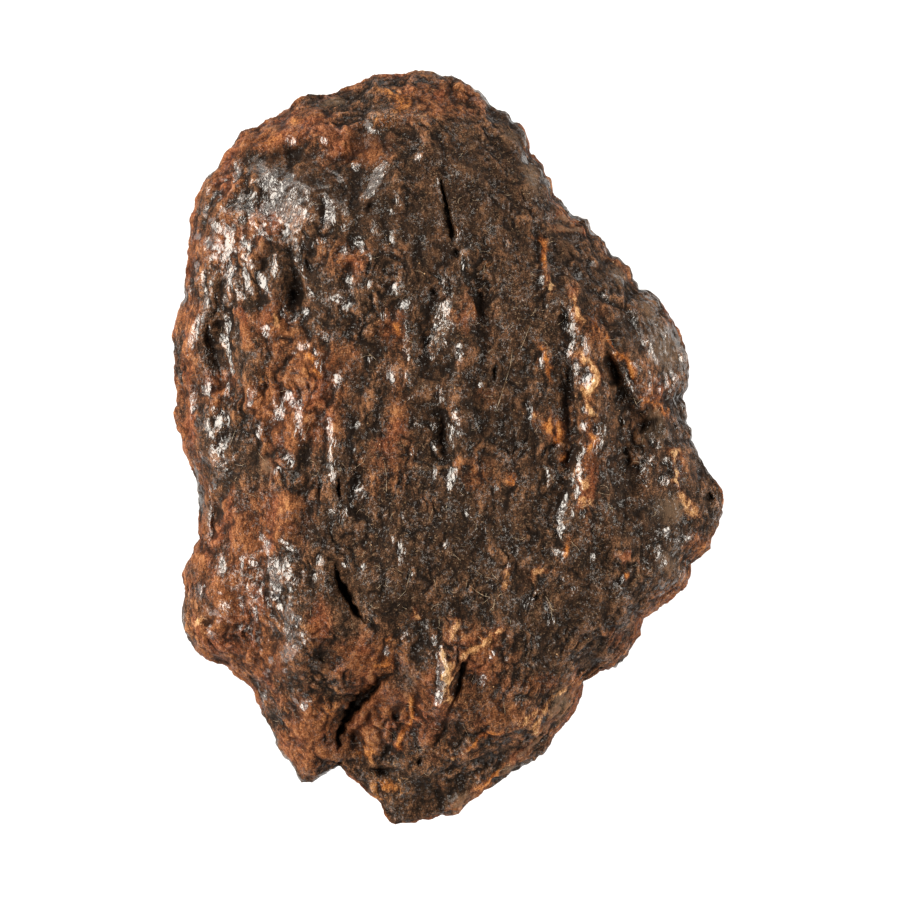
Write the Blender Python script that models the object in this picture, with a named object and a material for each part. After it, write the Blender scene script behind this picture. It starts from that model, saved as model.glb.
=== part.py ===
"""Iron meteorite: one rusted mass of iron that lies on its broad underside, in metres, +Z up.

The broad face looks up, with the specimen's length along Y. Places on that face are written in
millimetres as (across, down): across to the right from the left edge of a ruled field and down
from the field's top edge, so a place is read off the face with two rulers. The part's own origin
is under the middle of its box, at the level that it rests on.
"""

import math

import bmesh
import bpy
import numpy as np
from mathutils import Vector, noise

MM = 0.001

# Driving dimensions, in millimetres
FIELD_CENTRE = (44.8, 44.75)
OUTLINE_POLE = (44.0, 43.5)
CROWN_HEIGHT = 24.0
RIM_HEIGHT = 11.5
FLAT_DEPTH = 0.7
RIM_ROOM = 1.2

# How the surface is divided: rows of faces along each side of the starting solid, and the share
# of the faces' density that the underside gets
ROWS = 20
UNDERSIDE_DENSITY = 0.42
SECTION_SAMPLES = 600

# The outline's corners fade out towards the middle: how wide a fan of bearings evens them, in
# radians, how many bearings it holds, and how fast they come in near the edge
FAN_SPREAD = 0.5
FAN_BEARINGS = 21
CORNER_FADE = 5.0

# Section curves: fullness towards the rim, and sharpness of the shoulder
TOP_FULLNESS = 3.3
TOP_SHOULDER = 1.55
UNDER_FULLNESS = 2.35
UNDER_SHOULDER = 1.85

# How far the widest line round the stone rises and falls: (bearing in degrees from +X, height)
RIM_RISES = (
    (-172, 0.9), (-140, -1.2), (-108, -2.4), (-70, -1.6), (-30, 0.3), (5, 1.4), (40, 0.6),
    (75, -0.8), (105, -1.4), (135, 0.4), (160, 1.3),
)

# Turns of the section, in degrees from the top, between which the face's relief fades out, the
# walls' relief comes in, and the underside's relief comes in
FACE_FADE = (62.0, 88.0)
WALL_START = (93.0, 112.0)
UNDERSIDE_START = (98.0, 118.0)

# Small unevenness all over: (size of the grain, height) in millimetres, and the share of it that
# an upright wall keeps
GRAINS = ((17.0, 1.5), (7.5, 0.75), (3.6, 0.36))
WALL_GRAIN = 0.35
NOISE_OFFSET = Vector((3.7, 11.2, 5.9))

# How the face's ridges wander from their lines: size of a bend and how far it strays, in
# millimetres, and the share that their height varies by
WANDER_SIZE = 3.4
WANDER_REACH = 0.55
HEIGHT_SIZE = 4.2
HEIGHT_SHARE = 0.45

# The edge as it shows from above, clockwise from the left
OUTLINE = (
    (17.4, 41.2), (17.7, 39.1), (17.4, 37.0), (17.4, 34.8), (17.2, 33.6), (17.6, 31.9), (18.3, 30.0),
    (18.5, 27.7), (18.9, 24.0), (19.0, 21.7), (19.5, 20.0), (20.3, 18.2), (21.6, 16.9), (22.8, 15.0),
    (24.1, 13.1), (25.6, 12.6), (27.7, 11.5), (29.6, 10.0), (31.1, 9.4), (33.1, 9.3), (35.1, 8.5),
    (37.5, 7.4), (39.5, 7.3), (42.3, 7.0), (45.1, 7.6), (46.8, 8.5), (48.5, 9.7), (50.5, 11.1),
    (52.0, 12.4), (52.8, 14.0), (53.1, 15.0), (54.2, 16.3), (54.5, 17.3), (55.1, 18.0), (55.4, 19.4),
    (56.7, 20.9), (58.4, 21.8), (59.0, 22.5), (59.9, 23.6), (60.9, 25.0), (62.5, 26.3), (63.3, 27.8),
    (64.1, 28.9), (65.9, 29.9), (67.2, 31.8), (68.2, 33.8), (68.8, 35.9), (68.9, 38.0), (68.2, 39.8),
    (68.6, 41.1), (69.0, 42.9), (69.7, 45.0), (71.0, 47.4), (72.1, 48.7), (72.4, 49.8), (72.1, 51.2),
    (71.9, 52.3), (71.1, 53.7), (71.0, 54.8), (69.9, 55.8), (69.1, 56.4), (69.0, 57.7), (68.5, 58.8),
    (66.9, 60.1), (64.3, 62.0), (64.1, 63.3), (62.7, 65.6), (61.6, 66.7), (60.0, 67.2), (58.4, 68.2),
    (58.2, 69.5), (57.5, 71.1), (55.5, 73.5), (54.2, 75.6), (51.5, 77.1), (48.8, 78.9), (45.7, 81.5),
    (43.9, 81.7), (41.5, 82.3), (39.2, 82.4), (37.7, 80.2), (35.6, 78.3), (33.8, 76.9), (32.4, 77.5),
    (31.2, 78.3), (30.1, 78.1), (29.0, 76.4), (27.8, 74.9), (26.9, 72.6), (25.9, 70.9), (25.3, 69.2),
    (23.0, 67.0), (20.5, 66.0), (19.5, 65.1), (18.3, 63.2), (18.1, 61.3), (18.5, 59.4), (18.2, 57.5),
    (18.6, 56.4), (19.3, 54.9), (19.8, 53.9), (19.9, 51.5), (19.7, 48.3), (18.8, 46.0), (18.1, 43.7),
)

# Broad swells and hollows of the face: (height, half-width across, half-width down, place)
SWELLS = (
    (1.3, 9.0, 8.0, (38.0, 27.0)),
    (0.9, 6.0, 12.0, (58.5, 43.0)),
    (-0.9, 6.0, 9.0, (50.0, 46.0)),
    (-0.8, 4.0, 9.0, (41.0, 46.0)),
    (-1.6, 5.0, 10.0, (71.0, 44.0)),
    (-2.2, 9.0, 6.5, (42.0, 77.0)),
    (-1.6, 6.0, 5.0, (58.0, 71.0)),
    (0.8, 4.5, 4.5, (29.5, 64.0)),
    (0.7, 3.5, 5.0, (21.0, 60.5)),
    (-0.9, 3.0, 6.0, (22.0, 36.0)),
    (1.0, 3.6, 4.6, (71.0, 51.0)),
    (0.9, 3.0, 3.4, (66.8, 57.6)),
    (0.9, 2.6, 4.6, (65.4, 33.8)),
)

# Ridges: (height, width on the walker's left, width on the right, places from first to last).
# Walked down the face, the walker's left is the face's right-hand side.
RIDGES = (
    (0.8, 1.4, 1.5, ((21.2, 19.5), (21.5, 23.5), (20.7, 27.0), (20.4, 31.0), (19.8, 35.5))),
    (0.9, 1.6, 1.6, ((19.9, 39.0), (21.2, 43.5), (21.4, 47.0))),
    (0.9, 1.2, 1.5, ((23.4, 16.5), (24.3, 20.5), (24.5, 24.5), (24.0, 29.0), (25.1, 34.5), (25.2, 39.5))),
    (0.8, 1.2, 1.4, ((26.4, 22.5), (27.2, 27.0), (27.6, 30.5), (27.4, 34.0))),
    (1.1, 1.2, 2.0, ((30.6, 17.5), (31.0, 21.0), (30.4, 24.5))),
    (0.9, 1.2, 1.5, ((33.3, 19.0), (34.1, 21.5), (33.3, 24.0), (33.8, 28.0))),
    (1.0, 1.4, 1.5, ((39.8, 15.8), (38.5, 18.8), (37.0, 21.4))),
    (1.2, 1.8, 1.3, ((22.6, 16.0), (25.6, 14.0), (30.0, 13.3), (33.6, 14.1), (37.0, 13.0), (40.5, 10.8))),
    (1.0, 1.2, 2.8, ((45.7, 26.0), (46.3, 31.0), (45.9, 36.8))),
    (0.8, 1.1, 1.8, ((41.8, 28.5), (41.0, 31.5), (41.3, 35.5))),
    (0.9, 1.1, 2.2, ((33.4, 40.5), (33.9, 46.0), (33.7, 52.5))),
    (0.8, 1.4, 1.2, ((29.8, 40.0), (29.2, 45.0), (28.8, 50.5), (28.4, 56.5), (29.6, 62.0))),
    (0.8, 1.4, 1.2, ((45.6, 40.3), (45.6, 44.5), (45.6, 48.5), (47.2, 51.5))),
    (1.2, 1.8, 1.5, ((57.3, 29.5), (58.2, 33.0), (58.6, 37.0), (59.2, 41.5), (58.9, 46.0), (58.6, 50.0))),
    (0.9, 1.4, 1.3, ((58.6, 50.0), (56.8, 53.5), (56.3, 56.5))),
    (1.0, 1.6, 1.4, ((60.4, 33.0), (62.6, 36.6), (63.8, 39.6), (66.2, 41.2), (67.5, 45.0))),
    (0.9, 1.8, 1.4, ((66.6, 44.0), (67.5, 46.5), (68.5, 48.8), (69.8, 51.0))),
    (0.8, 1.2, 1.2, ((54.7, 26.5), (55.0, 29.5), (55.2, 34.0), (55.2, 38.0))),
    (0.8, 1.3, 1.2, ((50.8, 24.0), (49.6, 27.5), (50.2, 32.0))),
    (0.9, 1.2, 1.4, ((44.0, 64.4), (44.4, 68.4), (43.7, 72.4))),
    (1.0, 1.2, 1.6, ((44.6, 76.4), (46.2, 75.2), (49.4, 73.4), (53.0, 71.4))),
    (1.1, 1.6, 2.2, ((44.8, 81.2), (47.8, 78.4), (51.0, 75.8), (54.0, 73.2), (57.4, 69.2))),
    (0.8, 1.4, 1.4, ((50.4, 62.4), (48.0, 64.6), (45.6, 66.6))),
    (0.9, 1.5, 1.6, ((31.0, 61.0), (30.0, 65.0), (29.0, 68.5))),
    (0.7, 1.2, 1.2, ((54.6, 19.2), (56.6, 21.2), (58.8, 22.6))),
    (0.7, 1.3, 1.3, ((42.8, 9.8), (42.2, 13.0), (42.4, 17.0))),
    (0.8, 1.6, 1.2, ((50.6, 12.6), (51.8, 16.0), (53.0, 20.0))),
    (0.7, 1.2, 1.4, ((47.4, 13.0), (47.0, 17.0), (47.8, 21.0))),
    (0.7, 1.3, 1.2, ((36.6, 24.0), (36.9, 28.5), (37.8, 33.0))),
    (0.7, 1.2, 1.3, ((39.8, 52.0), (39.6, 56.0), (41.0, 59.5))),
    (0.7, 1.3, 1.2, ((50.8, 53.0), (50.2, 57.5), (50.4, 61.0))),
    (0.7, 1.3, 1.4, ((61.5, 54.0), (62.4, 58.0), (61.6, 62.0))),
)

# Grooves, cracks and gaps: (depth, half-width, places)
GROOVES = (
    (1.0, 1.4, ((25.4, 16.4), (29.6, 15.6), (33.6, 16.0))),
    (1.1, 1.3, ((21.8, 31.0), (22.2, 35.0), (22.8, 38.8))),
    (0.9, 0.9, ((44.0, 17.8), (44.8, 21.2), (45.3, 24.8))),
    (1.0, 1.0, ((47.0, 27.5), (48.0, 32.0), (47.6, 37.0))),
    (0.9, 1.0, ((44.3, 40.0), (44.2, 47.0))),
    (0.9, 1.1, ((35.2, 43.0), (35.3, 51.0))),
    (1.0, 1.4, ((60.9, 35.5), (61.4, 40.0), (62.4, 44.0), (62.2, 50.0))),
    (0.8, 1.1, ((56.6, 31.0), (56.6, 38.0), (56.4, 46.0), (55.6, 51.0))),
    (0.9, 1.1, ((69.0, 47.2), (70.3, 49.5))),
    (1.6, 1.1, ((33.7, 56.6), (34.1, 58.8), (35.2, 60.8), (36.6, 62.3))),
    (1.7, 1.7, ((38.0, 67.0), (36.2, 69.8), (35.0, 72.2), (34.6, 74.4))),
    (1.2, 1.3, ((40.8, 68.8), (40.5, 72.2), (39.2, 73.6), (38.0, 76.6))),
    (1.0, 1.4, ((36.8, 77.2), (39.4, 77.4))),
    (1.1, 1.1, ((47.5, 65.0), (46.2, 68.3), (45.4, 70.0), (44.0, 73.6))),
    (1.0, 1.3, ((45.5, 78.6), (49.4, 76.0), (53.2, 73.2))),
    (0.8, 1.0, ((55.6, 20.6), (57.8, 22.4))),
)

# Pits and knobs: (height, half-width across, half-width down, place)
PITS = (
    (-1.3, 1.5, 2.4, (29.8, 30.0)),
    (-1.1, 1.2, 3.4, (21.9, 51.6)),
    (0.7, 1.5, 1.5, (26.6, 17.8)),
    (0.7, 1.2, 2.2, (45.4, 42.5)),
    (-0.8, 2.4, 2.0, (59.5, 66.2)),
    (-0.7, 1.6, 1.6, (53.0, 59.4)),
    (-0.8, 2.2, 1.8, (42.5, 80.2)),
    (0.8, 1.6, 2.6, (68.2, 36.6)),
    (0.7, 1.5, 2.4, (65.2, 46.0)),
    (-0.8, 1.6, 1.8, (64.0, 42.2)),
    (0.7, 1.6, 1.6, (37.6, 75.6)),
    (-0.7, 1.6, 1.4, (24.4, 62.8)),
)

# Ledges: (drop on the walker's left, how far the low ground reaches, places)
LEDGES = (
    (1.2, 5.0, ((41.0, 37.0), (43.2, 37.7), (45.8, 37.8))),
    (1.4, 6.0, ((37.4, 67.2), (35.9, 70.2), (34.6, 72.8), (33.9, 75.4))),
    (1.1, 5.0, ((55.0, 73.0), (51.0, 73.6), (46.6, 75.8), (43.0, 78.6))),
)
LEDGE_EDGE = 1.3

# How far from its end a line starts to sink, and the share of its height left at the end itself
END_TAPER = 1.6
END_HEIGHT = 0.35

# Broad swells and hollows of the underside: (height, half-width, place)
UNDERSIDE = (
    (-1.7, 7.0, (27.0, 27.0)), (-1.5, 6.0, (56.0, 28.0)), (-1.6, 6.0, (62.0, 52.0)),
    (-1.2, 5.0, (26.5, 56.0)), (-1.4, 6.0, (48.0, 74.0)), (1.1, 5.0, (41.0, 17.0)),
    (0.9, 5.0, (36.0, 66.0)),
)

# Thumbprints over the underside and the side walls, laid in a sunflower spiral
THUMBPRINTS = 44
THUMBPRINT_DEPTH = 1.15
THUMBPRINT_RADIUS = 5.6
THUMBPRINT_SHIFT = 2.3
THUMBPRINT_CLIMB = 1.05
RADIUS_RANGE = (0.7, 1.25)
DEPTH_RANGE = (0.6, 1.2)
GOLDEN_ANGLE = math.pi * (3.0 - math.sqrt(5.0))
SEED = 11

# Chips of the side walls: (depth, half-width, compass bearing in degrees from +X, height)
CHIPS = (
    (1.3, 5.0, 20, 8.0), (1.0, 3.6, 52, 9.5), (1.4, 5.5, 95, 7.0), (1.1, 4.0, 128, 9.0),
    (1.3, 5.0, 165, 7.5), (1.0, 3.6, 198, 9.5), (1.4, 4.6, 232, 7.0), (1.5, 4.4, 262, 8.5),
    (1.3, 5.2, 300, 7.0), (1.0, 3.8, 334, 9.5),
)


def clear_scene():
    """Remove every object of the opened file."""
    for scene_object in list(bpy.data.objects):
        bpy.data.objects.remove(scene_object, do_unlink=True)


def on_face(place):
    """The part's own X and Y, in millimetres, of a place (across, down) on the face."""
    across, down = place
    return np.array((across - FIELD_CENTRE[0], FIELD_CENTRE[1] - down))


def smooth_step(low, high, value):
    """0 below low, 1 above high and an even curve between."""
    share = np.clip((value - low) / (high - low), 0.0, 1.0)
    return share * share * (3.0 - 2.0 * share)


def edge_distance(bearing):
    """Distance from the pole to the outline in each bearing, in millimetres."""
    corners = np.array([on_face(place) for place in OUTLINE]) - on_face(OUTLINE_POLE)
    bearings = np.arctan2(corners[:, 1], corners[:, 0])
    order = np.argsort(bearings)
    return np.interp(
        bearing,
        bearings[order],
        np.hypot(corners[order, 0], corners[order, 1]),
        period=2.0 * math.pi,
    )


def even_distance(bearing):
    """Distance from the pole to the outline in each bearing with its corners evened out."""
    fan = np.linspace(-FAN_SPREAD, FAN_SPREAD, FAN_BEARINGS)
    return np.mean([edge_distance(bearing + turned) for turned in fan], axis=0)


def even_bearings(bearing):
    """Bearings crowded towards the long ends, so that each sweeps the same area of the face."""
    fan = np.linspace(-math.pi, math.pi, SECTION_SAMPLES)
    swept = np.concatenate(([0.0], np.cumsum(even_distance(fan[1:]) ** 2)))
    return np.interp(bearing, (2.0 * swept / swept[-1] - 1.0) * math.pi, fan)


def plan_distance(reach, bearing):
    """Distance from the pole at each share of the way to the rim, in millimetres."""
    even = even_distance(bearing)
    return reach * (even + (edge_distance(bearing) - even) * reach**CORNER_FADE)


def rim_height(bearing):
    """Height of the widest line in each bearing, in millimetres."""
    bearings = np.radians([rise[0] for rise in RIM_RISES])
    rises = [rise[1] for rise in RIM_RISES]
    return RIM_HEIGHT + np.interp(bearing, bearings, rises, period=2.0 * math.pi)


def section(turn, rim):
    """Share of the way to the rim, and height, of the plain section at each turn from its top."""
    upper = turn <= math.pi / 2
    fullness = np.where(upper, TOP_FULLNESS, UNDER_FULLNESS)
    shoulder = np.where(upper, TOP_SHOULDER, UNDER_SHOULDER)
    reach = np.abs(np.sin(turn)) ** (2.0 / fullness)
    rise = np.abs(np.cos(turn)) ** (2.0 / shoulder)
    lift = np.where(upper, CROWN_HEIGHT - rim, -(rim + FLAT_DEPTH))
    return reach, rim + rise * lift


def even_turns(share):
    """Turn of the section that leaves the given share of the spread-out surface above it."""
    turn = np.linspace(0.0, math.pi, SECTION_SAMPLES)
    reach, height = section(turn, RIM_HEIGHT)
    radius = reach * np.mean(edge_distance(np.linspace(-math.pi, math.pi, SECTION_SAMPLES)))
    length = np.hypot(np.diff(radius), np.diff(height))
    middle = (radius[1:] + radius[:-1]) / 2
    density = np.where(turn[1:] <= math.pi / 2, 1.0, UNDERSIDE_DENSITY)
    area = np.concatenate(([0.0], np.cumsum(length * middle * density)))
    return np.interp(share, area / area[-1], turn)


def distance_to_line(spots, places):
    """Distance of each spot to a line of places, its side (+1 on the walker's left), and a taper
    that falls to 0 at the line's two ends."""
    line = np.array([on_face(place) for place in places])
    runs = np.diff(line, axis=0)
    lengths = np.hypot(runs[:, 0], runs[:, 1])
    starts = np.concatenate(([0.0], np.cumsum(lengths)))
    best = np.full(len(spots), np.inf)
    side = np.ones(len(spots))
    walked = np.zeros(len(spots))
    for start, run, length, behind in zip(line, runs, lengths, starts):
        offset = spots - start
        share = np.clip(offset @ run / length**2, 0.0, 1.0)
        gap = offset - share[:, None] * run
        distance = np.hypot(gap[:, 0], gap[:, 1])
        nearer = distance < best
        best = np.where(nearer, distance, best)
        turned = run[0] * offset[:, 1] - run[1] * offset[:, 0]
        side = np.where(nearer, np.where(turned >= 0.0, 1.0, -1.0), side)
        walked = np.where(nearer, behind + share * length, walked)
    to_end = np.minimum(walked, starts[-1] - walked)
    return best, side, END_HEIGHT + (1.0 - END_HEIGHT) * smooth_step(0.0, END_TAPER, to_end)


def wandered(spots):
    """The spots moved a little, so that a straight line of places becomes a wavering ridge."""
    moves = [noise.noise_vector(Vector((x, y, 0.0)) / WANDER_SIZE)[:2] for x, y in spots]
    return spots + WANDER_REACH * np.array(moves)


def height_share(spots):
    """Share of its full height that a ridge has at each spot."""
    values = [noise.noise(Vector((x, y, 0.0)) / HEIGHT_SIZE + NOISE_OFFSET) for x, y in spots]
    return 1.0 + HEIGHT_SHARE * np.array(values)


def mound(spots, half_across, half_down, place):
    """A rounded rise of height 1 with the given half-widths about a place."""
    offset = (spots - on_face(place)) / (half_across, half_down)
    return np.exp(-np.sum(offset**2, axis=1))


def face_relief(spots):
    """Height that the ridges, grooves, ledges, pits and swells add to the face at each spot."""
    height = np.zeros(len(spots))
    spots = wandered(spots)
    share = height_share(spots)
    for rise, half_across, half_down, place in SWELLS + PITS:
        height += rise * mound(spots, half_across, half_down, place)
    for rise, left_width, right_width, places in RIDGES:
        distance, side, taper = distance_to_line(spots, places)
        width = np.where(side > 0, left_width, right_width)
        height += rise * share * taper * np.exp(-((distance / width) ** 2))
    for depth, width, places in GROOVES:
        distance, side, taper = distance_to_line(spots, places)
        height -= depth * taper * np.exp(-((distance / width) ** 2))
    for drop, reach, places in LEDGES:
        distance, side, taper = distance_to_line(spots, places)
        below = smooth_step(-LEDGE_EDGE, LEDGE_EDGE, distance * side)
        height -= drop * taper * below * np.exp(-((distance / reach) ** 2))
    return height


def underside_relief(spots):
    """Height that the thumbprints add outwards to the underside at each spot."""
    height = np.zeros(len(spots))
    for rise, half_width, place in UNDERSIDE:
        height += rise * mound(spots, half_width, half_width, place)
    return height


def thumbprints(points):
    """Distance that the shallow bowls take off the underside and walls at each point."""
    chance = np.random.default_rng(SEED)
    height = np.zeros(len(points))
    pole = on_face(OUTLINE_POLE)
    for index in range(THUMBPRINTS):
        bearing = math.remainder(index * GOLDEN_ANGLE, 2.0 * math.pi)
        share = (index + 0.5) / THUMBPRINTS
        rim = float(rim_height(bearing))
        turn = math.pi - math.acos(1.0 - share) * THUMBPRINT_CLIMB
        reach, level = section(np.array(turn), rim)
        out = float(reach) * float(edge_distance(bearing))
        centre = np.array((math.cos(bearing) * out, math.sin(bearing) * out, float(level)))
        centre[:2] += pole
        centre += chance.uniform(-THUMBPRINT_SHIFT, THUMBPRINT_SHIFT, 3)
        radius = THUMBPRINT_RADIUS * chance.uniform(*RADIUS_RANGE)
        distance = np.linalg.norm(points - centre, axis=1)
        bowl = np.clip(1.0 - (distance / radius) ** 2, 0.0, 1.0)
        height = np.minimum(height, -THUMBPRINT_DEPTH * chance.uniform(*DEPTH_RANGE) * bowl)
    return height


def wall_relief(points):
    """Distance that the chips take off the side walls at each point."""
    height = np.zeros(len(points))
    pole = on_face(OUTLINE_POLE)
    for depth, half_width, bearing, level in CHIPS:
        angle = math.radians(bearing)
        out = float(edge_distance(angle))
        spot = (pole[0] + out * math.cos(angle), pole[1] + out * math.sin(angle), level)
        distance = np.linalg.norm(points - spot, axis=1)
        height -= depth * np.exp(-((distance / half_width) ** 2))
    return height


def rough_grain(points):
    """Unevenness at each point, the sum of the grains, in millimetres."""
    height = np.zeros(len(points))
    for size, rise in GRAINS:
        values = [noise.noise(Vector(point) / size + NOISE_OFFSET) for point in points]
        height += rise * np.array(values)
    return height


def starting_sphere(mesh):
    """Fill the mesh with an even ball of triangles, 1 in radius."""
    ball = bmesh.new()
    bmesh.ops.create_icosphere(ball, subdivisions=1, radius=1.0)
    bmesh.ops.subdivide_edges(ball, edges=ball.edges[:], cuts=ROWS - 1, use_grid_fill=True)
    bmesh.ops.triangulate(ball, faces=ball.faces[:])
    for vertex in ball.verts:
        vertex.co.normalize()
    ball.to_mesh(mesh)
    ball.free()


def outward_normals(mesh, points):
    """Set the mesh's vertices, in millimetres, and return the surface's outward normals there."""
    mesh.vertices.foreach_set("co", (points * MM).astype(np.float32).ravel())
    mesh.update()
    normals = np.empty(len(points) * 3, np.float32)
    mesh.vertex_normals.foreach_get("vector", normals)
    return normals.reshape(-1, 3).astype(float)


def shape_stone(mesh):
    """Move the ball's vertices to the meteorite's surface, in metres."""
    ball = np.empty(len(mesh.vertices) * 3, np.float32)
    mesh.vertices.foreach_get("co", ball)
    ball = ball.reshape(-1, 3).astype(float)
    bearing = even_bearings(np.arctan2(ball[:, 1], ball[:, 0]))
    turn = even_turns((1.0 - ball[:, 2]) / 2.0)
    rim = rim_height(bearing)
    reach, level = section(turn, rim)
    out = plan_distance(reach, bearing)
    pole = on_face(OUTLINE_POLE)
    points = np.column_stack(
        (pole[0] + out * np.cos(bearing), pole[1] + out * np.sin(bearing), level)
    )
    upper = 1.0 - smooth_step(*np.radians(FACE_FADE), turn)
    wall = smooth_step(*np.radians(WALL_START), turn)
    lower = smooth_step(*np.radians(UNDERSIDE_START), turn)
    normals = outward_normals(mesh, points)
    grain = rough_grain(points)
    flatness = WALL_GRAIN + (1.0 - WALL_GRAIN) * np.abs(normals[:, 2])
    points += normals * (grain * flatness)[:, None]
    relief = face_relief(points[:, :2])
    room = RIM_ROOM + np.maximum(level - rim, 0.0)
    points[:, 2] += upper * np.where(relief < 0.0, room * np.tanh(relief / room), relief)
    points[:, 2] -= lower * underside_relief(points[:, :2])
    points += normals * (wall * (wall_relief(points) + thumbprints(points)))[:, None]
    points[:, 2] = np.maximum(points[:, 2], 0.0)
    low, high = points.min(axis=0), points.max(axis=0)
    points -= ((low[0] + high[0]) / 2, (low[1] + high[1]) / 2, low[2])
    outward_normals(mesh, points)


def iron_crust():
    """Rust-brown weathered iron."""
    material = bpy.data.materials.new("iron_crust")
    material.use_nodes = True
    shader = material.node_tree.nodes["Principled BSDF"]
    shader.inputs["Base Color"].default_value = (0.062, 0.031, 0.017, 1.0)
    shader.inputs["Metallic"].default_value = 0.15
    shader.inputs["Roughness"].default_value = 0.45
    return material


def meteorite():
    """The whole specimen, one solid."""
    mesh = bpy.data.meshes.new("meteorite")
    starting_sphere(mesh)
    shape_stone(mesh)
    mesh.shade_smooth()
    mesh.materials.append(iron_crust())
    stone = bpy.data.objects.new("meteorite", mesh)
    bpy.context.scene.collection.objects.link(stone)
    return stone


clear_scene()
meteorite()
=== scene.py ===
"""Iron meteorite on a pale table, seen from straight above: the fine surface and its finish.

Places on the broad face are written in millimetres as (across, down), read off the face with two
rulers from the top left of a ruled field. A line of places runs down the face, so its left-hand
side as it is walked is the face's right-hand side.
"""

import itertools
import logging
import math
from collections.abc import Sequence
from dataclasses import dataclass
from enum import Enum

import bmesh
import bpy
import numpy as np
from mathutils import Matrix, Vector
from mathutils.bvhtree import BVHTree

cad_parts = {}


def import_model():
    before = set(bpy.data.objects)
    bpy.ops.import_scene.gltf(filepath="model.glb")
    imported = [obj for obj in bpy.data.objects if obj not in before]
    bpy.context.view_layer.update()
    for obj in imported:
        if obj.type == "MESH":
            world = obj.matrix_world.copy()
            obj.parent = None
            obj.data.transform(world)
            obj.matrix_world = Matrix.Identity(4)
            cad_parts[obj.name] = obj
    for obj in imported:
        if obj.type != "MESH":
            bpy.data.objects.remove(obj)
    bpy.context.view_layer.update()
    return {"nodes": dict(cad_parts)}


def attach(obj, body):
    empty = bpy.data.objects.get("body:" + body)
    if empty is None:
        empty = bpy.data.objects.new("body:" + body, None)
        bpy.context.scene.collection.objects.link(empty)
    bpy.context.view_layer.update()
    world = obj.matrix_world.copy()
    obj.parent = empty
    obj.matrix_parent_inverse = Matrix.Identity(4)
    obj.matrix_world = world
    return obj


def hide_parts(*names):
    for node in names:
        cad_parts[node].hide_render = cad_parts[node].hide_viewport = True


MM = 0.001
FIELD_CENTRE = (44.8, 44.75)
OUTLINE_POLE = (44.0, 43.5)
UNDERSIDE_LEVEL = 0.0

Place = tuple[float, float]

report = logging.getLogger("meteorite")


class Tone(Enum):
    """Names of the soft masks that the finish reads at each point of the surface."""

    RUST = "rust"
    ORANGE = "orange"
    OCHRE = "ochre"
    CREAM = "cream"
    # Dark crust tone; the clefts also use it as painted shade in cracks and gaps
    CHAR_AND_CRACK_SHADE = "char"
    # Grey-brown tone, partly real and partly a painted reflection on rims and bright facets
    GREY_AND_SHEEN = "grey"
    GLOSS = "gloss"
    GRIT = "grit"


@dataclass(frozen=True)
class Slope:
    """A glossy slope: how steeply it leans to the face's left (or right, if negative)."""

    lean: float
    half_width: float
    places: tuple[Place, ...]


@dataclass(frozen=True)
class Crest:
    """A narrow ridge with the tone that its back shows."""

    rise: float
    half_width: float
    tone: Tone
    places: tuple[Place, ...]


@dataclass(frozen=True)
class Cleft:
    """A crack, gap or pit, carved into the face and darkened with painted shade."""

    depth: float
    half_width: float
    places: tuple[Place, ...]


@dataclass(frozen=True)
class Scarp:
    """A broken edge: the ground on the walker's left stands higher by the drop."""

    drop: float
    half_width: float
    places: tuple[Place, ...]


@dataclass(frozen=True)
class Patch:
    """A soft-edged area of one tone."""

    tone: Tone
    amount: float
    half_across: float
    half_down: float
    place: Sequence[float]


def pairs(numbers: Sequence[float]) -> tuple[Place, ...]:
    """Places from numbers that give across and down in turn."""
    return tuple(zip(numbers[::2], numbers[1::2]))


def strokes(kind: type, rows: Sequence[Sequence[float]]) -> tuple:
    """Slopes, broken edges or clefts, one for each row of a table.

    Args:
        kind: the class that each row makes.
        rows: its first measure, its half-width, then across and down in turn.

    Returns:
        The strokes in the rows' order.
    """
    return tuple(kind(row[0], row[1], pairs(row[2:])) for row in rows)


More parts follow.
